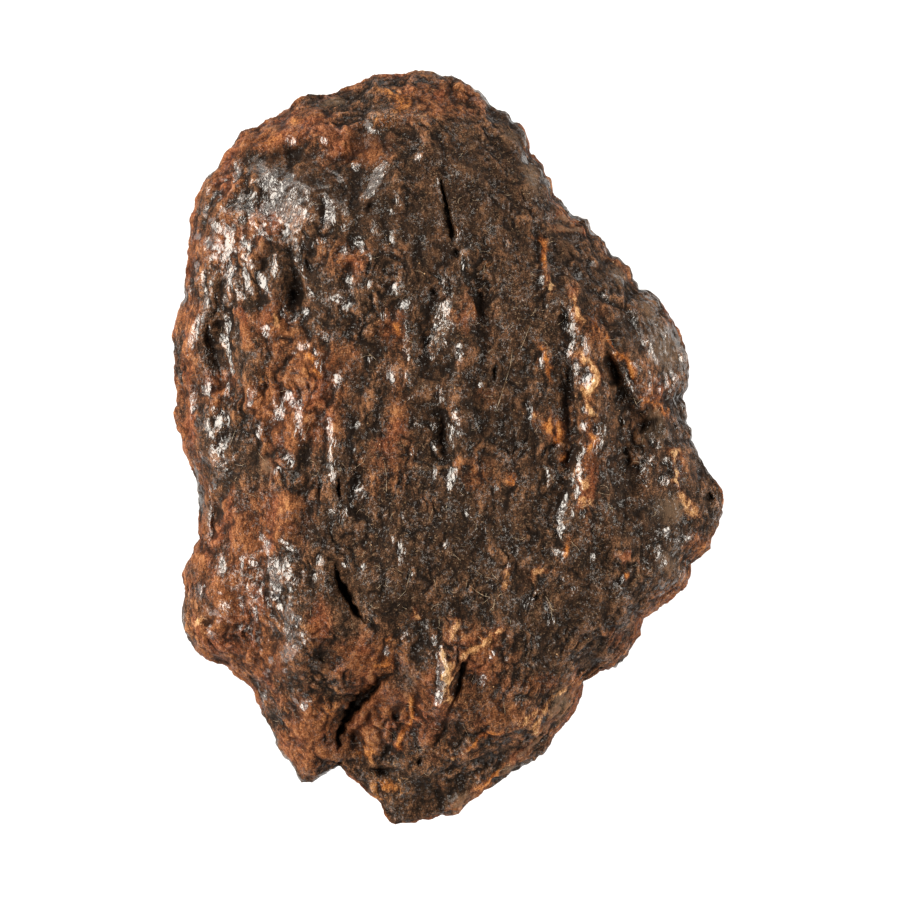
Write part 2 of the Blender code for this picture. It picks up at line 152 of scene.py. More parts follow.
# The edge as it shows from above, clockwise from the left
OUTLINE: tuple[Place, ...] = (
    (17.4, 41.2), (17.6, 40.4), (17.7, 39.1), (17.4, 37.8), (17.5, 36.1), (17.4, 34.8),
    (17.3, 34.3), (17.2, 33.6), (17.4, 32.9), (17.6, 31.9), (17.9, 30.9), (18.3, 30.0),
    (18.4, 29.5), (18.5, 27.7), (18.7, 26.0), (18.9, 24.0), (19.0, 23.0), (19.0, 21.7),
    (19.3, 20.9), (19.5, 20.0), (20.1, 18.8), (20.3, 18.2), (20.9, 17.5), (21.6, 16.9),
    (22.1, 15.9), (22.8, 15.0), (23.3, 14.5), (23.6, 13.9), (24.2, 13.1), (25.1, 12.8),
    (25.6, 12.7), (27.1, 11.7), (27.7, 11.5), (28.8, 10.7), (29.6, 10.0), (30.3, 9.6), (31.1, 9.4),
    (32.1, 9.4), (33.1, 9.3), (34.1, 8.9), (35.1, 8.5), (36.0, 8.2), (36.6, 7.8), (37.5, 7.4),
    (38.1, 7.4), (39.5, 7.4), (40.5, 7.3), (41.2, 7.1), (42.3, 7.0), (43.3, 7.2), (44.1, 7.5),
    (45.1, 7.6), (46.1, 7.9), (46.8, 8.5), (47.9, 9.0), (48.6, 9.7), (48.9, 10.3), (49.7, 10.9),
    (50.5, 11.1), (51.2, 11.9), (52.0, 12.4), (52.5, 13.0), (52.8, 14.0), (53.1, 15.0),
    (53.8, 15.9), (54.2, 16.3), (54.5, 16.9), (54.5, 17.3), (55.1, 17.9), (55.2, 18.7),
    (55.3, 19.3), (56.1, 20.0), (56.7, 20.9), (57.3, 21.5), (58.0, 21.7), (58.7, 21.9),
    (59.0, 22.5), (59.1, 23.0), (59.9, 23.6), (60.5, 24.3), (60.9, 25.0), (61.2, 25.6),
    (61.9, 25.8), (62.5, 26.4), (63.1, 26.9), (63.3, 27.8), (64.1, 28.9), (64.9, 29.1),
    (65.5, 29.6), (65.9, 29.9), (66.5, 30.9), (67.2, 31.9), (67.7, 32.7), (68.2, 33.8),
    (68.5, 34.9), (68.8, 35.9), (68.9, 37.0), (68.9, 38.0), (68.7, 38.9), (68.2, 39.8),
    (68.6, 40.5), (68.6, 41.2), (68.7, 42.2), (69.1, 42.9), (69.2, 44.1), (69.7, 45.0),
    (69.9, 45.6), (71.0, 47.4), (72.1, 48.8), (72.4, 49.8), (72.2, 51.2), (71.9, 52.3),
    (71.2, 53.7), (71.0, 54.8), (69.9, 55.8), (69.1, 56.4), (69.0, 57.7), (68.5, 58.8),
    (66.9, 60.1), (65.8, 60.9), (64.3, 62.0), (64.1, 63.0), (64.0, 63.5), (63.2, 64.6),
    (62.7, 65.6), (61.6, 66.7), (60.0, 67.2), (58.5, 68.2), (58.2, 69.5), (57.6, 71.1),
    (55.6, 73.5), (54.8, 74.9), (54.2, 75.6), (51.5, 77.1), (48.9, 78.9), (47.1, 80.2),
    (45.7, 81.5), (43.9, 81.7), (41.5, 82.3), (39.9, 82.4), (39.2, 82.4), (38.5, 81.6),
    (37.8, 80.3), (35.6, 78.3), (33.9, 76.9), (32.4, 77.5), (31.3, 78.3), (30.1, 78.2),
    (29.0, 76.4), (27.8, 74.9), (26.9, 72.6), (25.9, 70.9), (25.3, 69.2), (24.6, 68.4),
    (23.0, 67.1), (22.3, 66.5), (20.6, 66.0), (19.6, 65.1), (18.4, 63.2), (18.1, 61.3),
    (18.5, 59.4), (18.2, 57.5), (18.6, 56.4), (19.0, 55.6), (19.3, 54.9), (19.6, 54.3),
    (19.8, 53.9), (19.8, 52.7), (19.9, 51.5), (19.9, 50.3), (19.8, 49.3), (19.7, 48.3),
    (19.3, 47.2), (18.8, 46.0), (18.3, 44.9), (18.1, 43.7), (17.7, 42.9), (17.5, 42.1),
)

# Rows of strokes hold a height, depth or lean, a half-width, then across and down in turn.
# Glossy slopes of the left side, from the rounded end downwards
LEFT_SLOPES = (
    (0.7, 1.0, 26.6, 17.6), (0.6, 0.5, 26.1, 16.8), (0.7, 0.8, 29.0, 18.0), (0.6, 0.6, 27.3, 18.9),
    (0.6, 0.6, 26.9, 20.8), (0.4, 0.4, 29.2, 14.3), (0.4, 0.35, 32.5, 14.2),
    (0.5, 0.3, 23.8, 16.2, 23.6, 17.5, 23.9, 18.9), (0.5, 0.35, 21.3, 18.4),
    (0.5, 0.35, 20.9, 19.5), (0.5, 0.35, 21.9, 19.9), (0.6, 0.55, 20.8, 21.3),
    (0.5, 0.35, 22.4, 21.0),
    (0.7, 0.32, 21.4, 21.3, 21.6, 22.6, 22.2, 23.2, 23.0, 23.7, 23.2, 24.8, 22.6, 26.2),
    (0.7, 0.3, 24.1, 19.6, 24.0, 20.4, 24.2, 21.5, 24.4, 22.7),
    (0.7, 0.32, 24.9, 19.9, 25.0, 21.0, 25.4, 22.4, 26.0, 23.1, 26.8, 23.8),
    (0.7, 1.1, 28.9, 19.4, 29.1, 21.4, 29.6, 23.2),
    (0.7, 0.3, 29.7, 24.0, 29.6, 25.5, 29.8, 27.0, 30.4, 28.3, 31.1, 29.5, 31.3, 30.0),
    (0.7, 0.35, 31.6, 20.0, 32.2, 19.9, 32.7, 20.6, 32.8, 21.8, 32.7, 23.0),
    (0.7, 0.35, 33.3, 20.8, 33.4, 21.8), (0.5, 0.45, 33.1, 22.3),
    (0.7, 0.35, 34.5, 20.4, 34.7, 21.9), (0.5, 0.4, 35.7, 16.8), (0.5, 0.5, 30.6, 24.5),
    (0.5, 0.35, 32.0, 24.1), (0.5, 0.35, 34.5, 23.0), (0.6, 0.45, 19.4, 23.7),
    (0.7, 0.6, 20.6, 24.4), (0.5, 0.35, 21.8, 24.8), (0.6, 0.45, 19.8, 26.6),
    (0.5, 0.35, 20.2, 28.0), (0.7, 0.36, 24.7, 24.0, 24.9, 25.5, 25.4, 26.6),
    (0.7, 0.42, 25.8, 26.9, 26.3, 27.8, 26.7, 28.8, 27.0, 29.2),
    (0.5, 0.28, 27.5, 25.8, 27.6, 27.5),
    (0.7, 0.36, 23.1, 26.2, 23.3, 26.9, 23.1, 28.5, 22.9, 30.2),
    (0.5, 0.35, 24.6, 27.0, 25.0, 28.5, 25.2, 29.5), (0.6, 0.4, 24.0, 29.7),
    (0.7, 0.38, 21.2, 28.8, 20.8, 29.8, 20.4, 30.8),
    (0.7, 0.6, 20.0, 31.6, 19.6, 32.8, 19.2, 34.0, 18.8, 35.2),
    (0.6, 0.3, 22.5, 31.8, 22.8, 33.0, 22.9, 34.5),
    (0.5, 0.28, 22.2, 33.5, 22.8, 35.0, 23.2, 36.5, 23.5, 37.7),
    (0.6, 0.32, 21.2, 32.8, 21.3, 33.6), (0.6, 0.45, 26.8, 33.0),
    (0.7, 0.32, 28.3, 30.4, 28.6, 31.4, 29.2, 32.2), (0.7, 0.35, 30.8, 31.2, 30.4, 32.0),
    (0.6, 0.3, 29.9, 31.6, 29.6, 32.2), (0.7, 0.4, 33.2, 29.7, 34.2, 30.0, 35.0, 30.8),
    (0.6, 0.35, 29.5, 35.2, 30.3, 34.6, 31.2, 34.8),
    (0.5, 0.32, 31.5, 35.2, 31.8, 36.0, 32.2, 37.2), (0.6, 0.45, 33.8, 37.6, 33.9, 39.0),
    (0.5, 0.3, 31.8, 33.0, 32.4, 33.5, 33.0, 34.0), (0.7, 0.35, 20.6, 38.0, 20.7, 39.5),
    (0.7, 0.75, 19.9, 40.0, 19.3, 40.8, 19.2, 41.5), (0.6, 0.32, 22.8, 38.4, 22.6, 39.6),
    (0.6, 0.32, 25.3, 38.4, 25.1, 39.6, 25.3, 40.4),
    (0.7, 0.42, 27.4, 40.0, 27.9, 41.0, 27.7, 42.0, 27.4, 42.4),
    (0.6, 0.35, 28.7, 39.4, 29.0, 40.4),
    (0.7, 0.45, 29.9, 40.4, 30.1, 41.6, 30.3, 43.4, 30.5, 44.2), (0.5, 0.3, 26.2, 42.8, 26.0, 44.0),
    (0.7, 0.65, 21.8, 41.0, 22.2, 42.4, 22.3, 43.0),
    (0.6, 0.32, 20.6, 41.9, 21.0, 42.8, 21.6, 43.8),
    (0.6, 0.85, 21.6, 44.4, 21.7, 45.6, 22.0, 46.8), (0.6, 0.4, 22.8, 44.0, 22.6, 45.2),
    (0.6, 0.4, 20.0, 45.2, 20.2, 46.0, 20.6, 46.9), (0.7, 0.3, 21.6, 48.0, 21.1, 49.2, 20.9, 50.2),
    (0.6, 0.28, 20.9, 50.2, 20.9, 52.0, 21.2, 53.6, 21.2, 54.6), (0.6, 0.5, 28.8, 45.2, 28.9, 46.4),
    (0.5, 0.35, 28.0, 47.0, 28.0, 47.6),
    (0.6, 0.32, 33.1, 42.0, 33.0, 44.5, 33.2, 46.5, 33.4, 48.5),
    (0.7, 0.42, 33.4, 50.6, 33.5, 52.0), (0.7, 0.35, 34.4, 50.4, 34.3, 52.0),
    (0.7, 0.42, 26.2, 53.4, 26.6, 54.4, 27.0, 55.2), (0.5, 0.3, 28.2, 54.0, 29.0, 54.6, 29.6, 54.6),
)

# Glossy slopes of the lower left, below the waist of the left edge
LOW_SLOPES = (
    (0.7, 0.6, 27.4, 55.4, 27.7, 57.2, 27.6, 58.8, 27.2, 59.8),
    (0.7, 0.5, 28.6, 56.0, 28.9, 57.6, 28.9, 58.8), (0.6, 0.35, 30.2, 57.0, 30.4, 57.8),
    (0.6, 0.3, 31.6, 57.2, 31.5, 57.9), (0.7, 0.32, 32.0, 55.6, 32.2, 56.6, 32.4, 57.8),
    (0.6, 0.42, 22.1, 55.8, 22.3, 56.6, 22.1, 57.4), (0.5, 0.35, 24.8, 55.4, 24.4, 56.2),
    (0.5, 0.35, 25.7, 56.4), (0.7, 0.45, 19.9, 58.2, 20.1, 59.0),
    (0.7, 0.5, 21.0, 60.6, 21.3, 61.6, 21.4, 62.4), (0.6, 0.6, 22.4, 60.7),
    (0.6, 0.5, 21.0, 63.2, 21.4, 63.8), (0.6, 0.35, 25.9, 60.6, 25.7, 61.4),
    (0.6, 0.45, 28.0, 60.8, 28.9, 60.6, 29.6, 61.6, 29.8, 62.6),
    (0.7, 0.45, 30.6, 62.8, 30.2, 63.8, 29.6, 64.8),
    (0.6, 0.7, 29.3, 61.8, 29.2, 63.4, 28.9, 65.2, 28.9, 66.4),
    (0.6, 0.5, 29.3, 66.8, 28.6, 67.6, 28.1, 68.2), (0.6, 0.35, 26.6, 66.2, 26.4, 66.9),
    (0.5, 0.28, 27.2, 65.4, 27.0, 66.8, 26.8, 67.6), (0.5, 0.28, 28.0, 67.4, 27.7, 67.9),
    (0.7, 0.5, 31.0, 70.2, 30.6, 70.6), (0.6, 0.35, 29.4, 69.4, 30.0, 70.2),
    (0.6, 0.32, 27.4, 70.0, 27.2, 70.8), (0.5, 0.28, 26.5, 69.2, 26.4, 70.2),
)

# Glossy slopes of the middle of the face
MIDDLE_SLOPES = (
    (0.7, 0.4, 38.5, 16.4, 37.9, 17.9, 37.2, 19.2, 36.7, 20.2), (0.6, 0.3, 39.7, 19.6, 39.8, 20.8),
    (0.5, 0.4, 33.6, 17.6, 34.3, 18.2), (0.5, 0.3, 36.4, 12.4, 36.8, 12.9, 37.8, 13.8),
    (0.6, 0.3, 41.9, 15.5, 41.9, 16.4), (0.5, 0.32, 35.8, 23.8, 36.2, 24.6, 36.3, 25.4),
    (0.5, 0.4, 34.6, 25.0), (0.6, 0.45, 34.8, 27.8, 34.9, 28.4), (0.5, 0.3, 36.5, 25.6, 37.0, 26.2),
    (0.6, 0.32, 37.0, 22.2, 37.3, 22.8, 37.9, 23.6), (0.5, 0.3, 39.2, 21.0, 39.3, 21.6),
    (0.5, 0.35, 39.2, 23.6, 39.3, 24.2), (0.5, 0.32, 36.9, 28.4, 37.0, 29.2),
    (0.6, 0.45, 39.9, 28.4, 39.2, 29.6), (0.7, 0.45, 40.4, 30.2, 40.8, 31.0),
    (0.5, 0.4, 38.6, 31.4, 38.3, 32.0), (0.6, 0.3, 39.8, 31.4, 39.6, 32.2),
    (0.5, 0.3, 40.8, 32.4, 40.4, 34.4), (0.7, 0.42, 40.6, 34.8, 40.9, 36.2),
    (0.5, 0.32, 36.9, 35.6, 37.0, 36.8), (0.7, 0.3, 43.8, 18.2, 44.0, 19.4, 44.2, 20.4),
    (0.7, 0.4, 45.4, 22.8, 45.8, 23.8, 46.0, 24.2), (0.5, 0.3, 46.8, 24.3, 46.9, 24.9),
    (0.6, 0.3, 46.3, 25.4, 46.6, 26.4, 47.0, 27.2), (0.6, 0.3, 44.6, 27.0, 44.3, 27.8, 44.1, 28.8),
    (0.45, 0.75, 44.9, 29.6, 44.2, 31.2, 43.9, 33.4, 43.5, 35.8),
    (0.6, 0.3, 44.6, 30.0, 44.8, 31.2, 44.4, 32.8), (0.6, 0.32, 43.0, 33.6, 42.7, 35.0),
    (0.7, 0.35, 45.5, 34.2, 45.8, 35.2, 45.8, 36.4), (0.5, 0.4, 39.0, 37.2, 39.4, 38.2),
    (0.5, 0.35, 40.5, 37.4, 41.1, 38.6), (0.6, 0.3, 43.9, 38.8, 44.1, 39.8),
    (0.5, 0.35, 41.6, 39.6, 41.4, 40.0), (0.8, 0.34, 45.7, 41.0, 45.8, 42.4, 46.0, 43.6),
    (0.8, 0.34, 44.9, 42.0, 44.9, 43.4, 45.1, 44.4),
    (0.6, 0.45, 45.0, 46.6, 45.2, 47.4, 45.0, 48.6), (0.7, 0.3, 46.4, 50.6, 46.8, 51.6, 47.1, 52.0),
    (0.5, 0.3, 48.4, 52.8, 48.7, 53.4), (0.6, 0.38, 40.0, 53.8, 40.2, 55.2, 40.0, 56.2),
    (0.6, 0.28, 41.3, 56.6, 41.0, 57.6), (0.5, 0.3, 39.5, 53.2, 39.2, 54.2),
    (0.5, 0.4, 44.7, 54.0, 44.2, 55.2), (0.5, 0.28, 36.6, 56.4, 36.5, 57.0),
    (0.5, 0.3, 34.3, 56.2, 34.8, 57.0), (0.5, 0.32, 36.0, 48.4, 35.9, 49.4, 35.4, 50.2),
    (0.4, 0.3, 41.3, 44.2, 41.0, 45.6), (0.5, 0.28, 43.1, 42.0, 43.3, 43.2),
    (0.4, 0.35, 41.6, 42.4), (0.5, 0.3, 43.4, 44.2, 43.8, 45.4), (0.5, 0.3, 35.7, 42.4, 35.6, 43.2),
    (0.4, 0.3, 35.4, 44.4, 35.6, 45.4), (0.5, 0.3, 43.4, 47.2, 43.5, 48.0),
    (0.5, 0.3, 40.6, 51.2, 40.2, 52.0),
)

# Glossy slopes right of the middle
RIGHT_SLOPES = (
    (0.5, 0.32, 50.6, 24.0, 50.7, 25.0), (0.7, 0.28, 54.1, 27.6, 53.8, 28.4),
    (0.6, 0.32, 55.1, 30.4, 54.8, 31.2), (0.5, 0.35, 58.0, 27.6, 57.8, 28.8),
    (0.7, 0.28, 60.3, 29.1, 60.3, 29.9), (0.6, 0.28, 59.0, 26.2, 59.1, 26.8),
    (0.6, 0.6, 56.6, 31.0, 56.8, 32.4, 57.0, 33.6), (0.7, 0.4, 57.2, 34.4, 56.8, 35.4),
    (0.6, 0.45, 58.4, 34.4, 58.3, 35.6), (0.6, 0.4, 57.6, 36.8, 57.3, 38.4),
    (0.6, 0.6, 58.6, 37.4, 58.8, 38.6), (0.7, 0.32, 58.3, 40.8, 58.3, 41.6),
    (0.7, 0.3, 58.4, 42.5, 58.4, 43.2), (0.7, 0.36, 60.2, 42.4, 59.8, 43.4, 59.4, 45.0),
    (0.7, 0.42, 57.9, 44.6, 57.7, 46.0, 57.6, 47.2, 57.6, 48.6, 57.6, 49.8),
    (0.6, 0.28, 56.2, 49.6, 56.2, 50.4, 56.0, 51.6, 55.8, 53.4),
    (0.6, 0.36, 57.0, 50.6, 57.4, 51.6), (0.6, 0.32, 58.6, 50.8, 58.4, 51.8),
    (0.7, 0.32, 55.7, 44.2, 55.4, 45.0), (0.7, 0.36, 54.8, 46.8, 54.7, 48.4),
    (0.5, 0.26, 55.2, 47.8, 55.8, 49.0), (0.6, 0.4, 55.2, 54.8, 56.0, 55.4, 55.9, 56.2),
    (0.6, 0.28, 53.0, 39.6, 53.1, 41.2, 53.1, 42.4), (0.6, 0.3, 54.1, 35.6, 54.0, 36.8),
    (0.6, 0.32, 51.9, 54.6, 51.5, 55.4), (0.5, 0.28, 50.5, 56.0, 50.7, 56.8),
    (0.5, 0.42, 56.2, 57.4, 56.4, 58.2), (0.6, 0.45, 57.0, 58.6, 57.2, 59.6),
    (0.5, 0.3, 57.9, 59.2, 58.1, 59.8), (0.6, 0.28, 53.9, 58.6, 53.0, 59.8, 52.6, 60.4),
    (0.5, 0.26, 54.5, 59.5, 55.0, 60.8, 55.0, 62.0, 54.7, 62.6),
    (0.7, 0.55, 61.4, 35.6, 61.9, 37.2, 62.2, 38.6, 62.7, 39.8), (0.7, 0.3, 62.0, 41.9, 62.2, 43.0),
    (0.6, 0.32, 62.2, 57.4, 62.1, 58.4), (0.5, 0.3, 59.2, 55.2, 58.9, 56.2),
    (0.5, 0.3, 47.9, 38.2, 48.1, 38.8), (0.5, 0.35, 49.6, 40.4, 49.3, 41.0),
    (0.5, 0.3, 49.4, 48.6, 49.2, 49.2), (0.7, 0.36, 65.3, 43.8, 65.6, 44.8),
    (0.7, 0.3, 64.5, 45.6, 64.2, 46.6, 64.4, 47.6, 64.8, 48.4), (0.6, 0.45, 65.0, 45.8, 65.4, 46.8),
    (0.8, 0.4, 66.4, 46.0, 66.6, 46.5), (0.4, 0.4, 66.2, 48.0),
)

# Glossy slopes that face the right-hand edge
FLANK_SLOPES = (
    (-0.65, 0.35, 63.2, 30.4, 63.4, 31.4), (-0.6, 0.28, 63.5, 31.6, 63.7, 33.0),
    (-0.55, 0.6, 64.6, 33.0, 64.7, 34.4, 65.2, 35.6),
    (-0.55, 0.4, 65.8, 32.4, 66.4, 33.4, 66.4, 34.6), (-0.65, 0.36, 65.8, 36.0, 65.7, 37.0),
    (-0.55, 0.6, 68.0, 34.8, 68.2, 36.2, 68.4, 37.4), (-0.65, 0.42, 67.2, 37.2, 67.6, 38.2),
    (-0.55, 0.35, 66.4, 31.4, 67.4, 32.6), (-0.65, 0.35, 68.4, 53.8, 68.8, 54.8),
    (-0.65, 0.4, 67.4, 53.8, 67.6, 55.6), (-0.55, 0.7, 65.9, 57.8, 66.2, 59.0),
    (-0.55, 0.6, 67.2, 57.6, 67.4, 58.4), (-0.55, 0.5, 68.2, 56.8, 68.0, 57.6),
    (-0.55, 0.35, 66.4, 56.0, 66.4, 56.8), (-0.65, 0.28, 66.5, 52.8, 66.3, 53.8),
    (-0.55, 0.28, 54.6, 22.0), (-0.55, 0.3, 52.5, 15.0, 52.4, 16.4),
    (-0.55, 0.3, 60.4, 24.6, 60.7, 25.6), (-0.55, 0.3, 61.6, 27.0, 62.2, 28.4),
)

# Glossy slopes of the lower middle
FOOT_SLOPES = (
    (0.7, 0.42, 43.9, 64.4, 43.9, 67.0, 44.0, 69.4, 43.6, 71.0),
    (0.6, 0.32, 43.4, 71.6, 43.8, 72.6), (0.5, 0.35, 50.9, 62.4, 50.7, 63.6),
    (0.6, 0.32, 48.9, 65.0, 48.8, 65.8), (0.5, 0.26, 50.4, 65.4, 50.6, 66.2),
    (0.5, 0.4, 38.8, 65.1), (0.5, 0.4, 40.8, 63.0, 40.4, 63.6), (0.5, 0.32, 37.2, 61.0, 37.5, 61.6),
    (0.5, 0.28, 43.1, 63.4, 43.6, 64.4), (0.5, 0.28, 42.8, 62.0, 42.6, 63.0),
    (0.5, 0.35, 48.2, 67.4, 48.2, 68.4), (0.5, 0.35, 46.6, 76.8, 46.4, 77.8),
)

SLOPES = strokes(
    Slope, LEFT_SLOPES + LOW_SLOPES + MIDDLE_SLOPES + RIGHT_SLOPES + FLANK_SLOPES + FOOT_SLOPES
)

# Narrow ridges, mostly of lighter tone: the tone in front of the numbers
CRESTS = tuple(
    Crest(rise, half_width, tone, pairs(line))
    for tone, rise, half_width, *line in (
        (Tone.CREAM, 0.35, 0.3, 54.6, 27.5, 54.9, 28.6, 55.1, 29.7),
        (Tone.ORANGE, 0.25, 0.35, 53.6, 23.8, 54.4, 24.8, 54.4, 26.2, 54.4, 27.2),
        (Tone.OCHRE, 0.45, 0.35, 56.9, 29.7, 57.7, 31.0, 58.3, 32.5),
        (Tone.ORANGE, 0.35, 0.4, 58.8, 31.6, 59.4, 32.6, 59.8, 33.6),
        (Tone.OCHRE, 0.45, 0.42, 57.3, 35.8, 58.6, 36.4, 59.5, 37.4, 59.4, 39.0, 59.0, 40.2),
        (Tone.OCHRE, 0.35, 0.34, 57.9, 38.0, 58.4, 39.2, 58.9, 40.2, 59.1, 42.2),
        (Tone.CREAM, 0.25, 0.5, 58.9, 40.6, 59.1, 42.0),
        (Tone.ORANGE, 0.35, 0.45, 59.3, 43.2, 58.9, 44.4, 58.2, 45.1),
        (Tone.RUST, 0.35, 0.5, 58.5, 45.2, 58.6, 47.8),
        (Tone.OCHRE, 0.4, 0.5, 58.2, 47.8, 58.4, 49.4, 58.5, 51.0),
        (Tone.ORANGE, 0.35, 0.45, 56.8, 53.4, 56.6, 54.6, 56.2, 55.8),
        (Tone.ORANGE, 0.45, 0.42, 60.3, 33.4, 61.2, 34.6, 62.2, 35.6, 62.9, 37.0, 63.2, 38.8),
        (Tone.ORANGE, 0.35, 0.5, 63.2, 38.8, 64.6, 40.2, 66.0, 40.8, 67.2, 42.0),
        (Tone.CREAM, 0.45, 0.34, 66.6, 44.7, 67.2, 45.3, 67.5, 46.5, 67.4, 47.8, 67.7, 48.7),
        (Tone.OCHRE, 0.35, 0.4, 67.7, 48.7, 68.1, 49.5, 68.6, 50.5, 69.1, 51.3, 70.0, 52.0),
        (Tone.ORANGE, 0.35, 0.4, 53.8, 34.6, 54.4, 35.8, 54.8, 36.8),
        (Tone.ORANGE, 0.35, 0.6, 54.8, 37.3), (Tone.OCHRE, 0.3, 0.32, 53.4, 41.2, 53.6, 42.6),
        (Tone.ORANGE, 0.3, 0.3, 54.9, 41.8, 54.9, 43.2, 55.6, 44.0, 55.9, 42.8, 55.8, 41.8),
        (Tone.ORANGE, 0.25, 0.35, 56.4, 45.2, 56.8, 46.0), (Tone.ORANGE, 0.35, 0.5, 51.1, 47.8),
        (Tone.OCHRE, 0.35, 0.55, 53.9, 57.3),
        (Tone.OCHRE, 0.3, 0.34, 50.6, 56.8, 50.6, 58.0, 50.2, 59.2),
        (Tone.ORANGE, 0.3, 0.36, 62.6, 57.4), (Tone.RUST, 0.3, 0.5, 62.6, 55.4),
        (Tone.CREAM, 0.45, 0.36, 44.1, 64.4, 44.3, 67.0, 44.4, 69.4),
        (Tone.OCHRE, 0.35, 0.36, 44.7, 65.6, 44.8, 68.0, 44.9, 69.4, 45.4, 70.6),
        (Tone.OCHRE, 0.3, 0.36, 45.8, 61.0, 45.5, 62.8, 45.1, 64.4),
        (Tone.OCHRE, 0.3, 0.4, 50.4, 62.2, 49.4, 63.2, 48.4, 64.2, 47.0, 65.0, 45.6, 65.8),
        (Tone.OCHRE, 0.3, 0.35, 41.2, 60.6, 41.7, 61.6, 42.0, 62.6),
        (Tone.OCHRE, 0.45, 0.3, 54.3, 70.4, 52.8, 71.5, 51.6, 72.4),
        (Tone.ORANGE, 0.4, 0.3, 50.6, 72.9, 48.4, 73.8, 46.4, 74.8),
        (Tone.OCHRE, 0.35, 0.32, 46.4, 75.2, 44.8, 76.4),
        (Tone.GREY_AND_SHEEN, 0.35, 0.35, 58.2, 68.4, 56.2, 70.2, 54.6, 72.4, 53.0, 74.8, 51.4, 76.0),
        (Tone.OCHRE, 0.2, 0.3, 57.6, 68.0, 55.6, 69.6, 54.2, 71.6, 52.8, 73.8),
        (Tone.ORANGE, 0.35, 0.35, 51.0, 76.6, 49.4, 77.8, 47.6, 79.2),
        (Tone.CREAM, 0.3, 0.3, 51.4, 76.2, 51.1, 77.0),
        (Tone.GREY_AND_SHEEN, 0.25, 0.3, 47.6, 79.2, 46.0, 80.4, 44.6, 81.2),
        (Tone.RUST, 0.35, 0.35, 24.1, 30.5, 24.5, 32.8, 25.0, 34.4, 25.5, 34.9),
        (Tone.OCHRE, 0.25, 0.4, 27.4, 31.0, 27.7, 31.8, 28.1, 32.8),
        (Tone.ORANGE, 0.3, 0.35, 30.2, 35.4, 31.2, 35.8, 31.8, 37.2, 32.4, 37.8),
        (Tone.GREY_AND_SHEEN, 0.25, 0.45, 26.4, 45.4, 26.9, 46.8, 27.4, 48.2),
        (Tone.OCHRE, 0.3, 0.6, 19.8, 61.4, 19.8, 62.6),
        (Tone.RUST, 0.35, 0.32, 23.2, 48.6, 22.9, 51.0, 22.3, 53.4, 21.9, 55.0),
        (Tone.ORANGE, 0.3, 0.5, 40.4, 31.8, 39.8, 33.0, 39.8, 34.2),
        (Tone.RUST, 0.3, 0.4, 45.2, 46.0, 46.2, 46.4),
        (Tone.ORANGE, 0.3, 0.3, 39.0, 64.2, 38.8, 63.6),
        (Tone.ORANGE, 0.4, 0.35, 41.0, 69.0, 41.1, 71.4, 40.6, 73.0, 39.2, 75.4),
        (Tone.RUST, 0.35, 0.4, 37.8, 68.6, 36.6, 70.6, 35.9, 72.8),
        (Tone.GREY_AND_SHEEN, 0.25, 0.35, 55.4, 21.4, 56.6, 21.8, 57.8, 22.0),
        (Tone.GREY_AND_SHEEN, 0.25, 0.35, 55.4, 22.6, 57.2, 23.0, 58.6, 23.2),
    )
)

# Broken edges of plates and blocks, down the face with the higher ground on its right
SCARPS = strokes(
    Scarp,
    (
        (1.1, 0.5, 39.6, 67.2, 38.4, 68.2, 37.0, 69.4, 35.8, 70.8, 34.8, 72.2, 34.2, 73.6, 33.9,
         75.0),
        (-0.5, 0.4, 41.2, 68.6, 41.1, 70.8, 40.3, 72.8, 39.0, 75.0, 38.2, 76.4),
        (0.6, 0.4, 46.9, 65.4, 46.2, 67.2, 45.8, 69.2, 45.2, 71.0, 44.4, 73.0, 43.4, 74.8),
        (-0.6, 0.45, 33.9, 56.6, 34.4, 58.4, 35.3, 60.0, 36.5, 62.2, 37.8, 63.6),
        (0.4, 0.4, 25.2, 16.2, 25.0, 18.6, 25.4, 20.8, 26.2, 22.6),
        (0.5, 0.35, 29.4, 24.0, 29.5, 26.0, 30.0, 28.0, 31.0, 29.8),
        (0.4, 0.35, 44.2, 17.6, 44.7, 20.2, 45.2, 22.8, 45.6, 25.0),
        (-0.35, 0.4, 42.9, 29.0, 42.3, 31.0, 42.1, 33.6, 42.2, 36.0),
        (-0.45, 0.4, 60.0, 33.2, 61.2, 34.9, 62.2, 36.6, 62.8, 38.6, 64.4, 40.4),
        (0.4, 0.4, 57.4, 36.0, 57.1, 38.0, 57.5, 40.4, 57.9, 43.0, 57.4, 45.6, 57.2, 48.6),
        (0.3, 0.35, 54.0, 24.0, 54.2, 26.6, 54.5, 29.4),
        (0.35, 0.35, 48.0, 73.9, 50.6, 72.6, 52.6, 71.3, 54.2, 70.2),
        (0.3, 0.35, 31.2, 30.6, 31.0, 33.0, 31.8, 35.4),
        (0.35, 0.3, 33.0, 41.6, 32.8, 44.6, 33.0, 47.6),
    ),
)
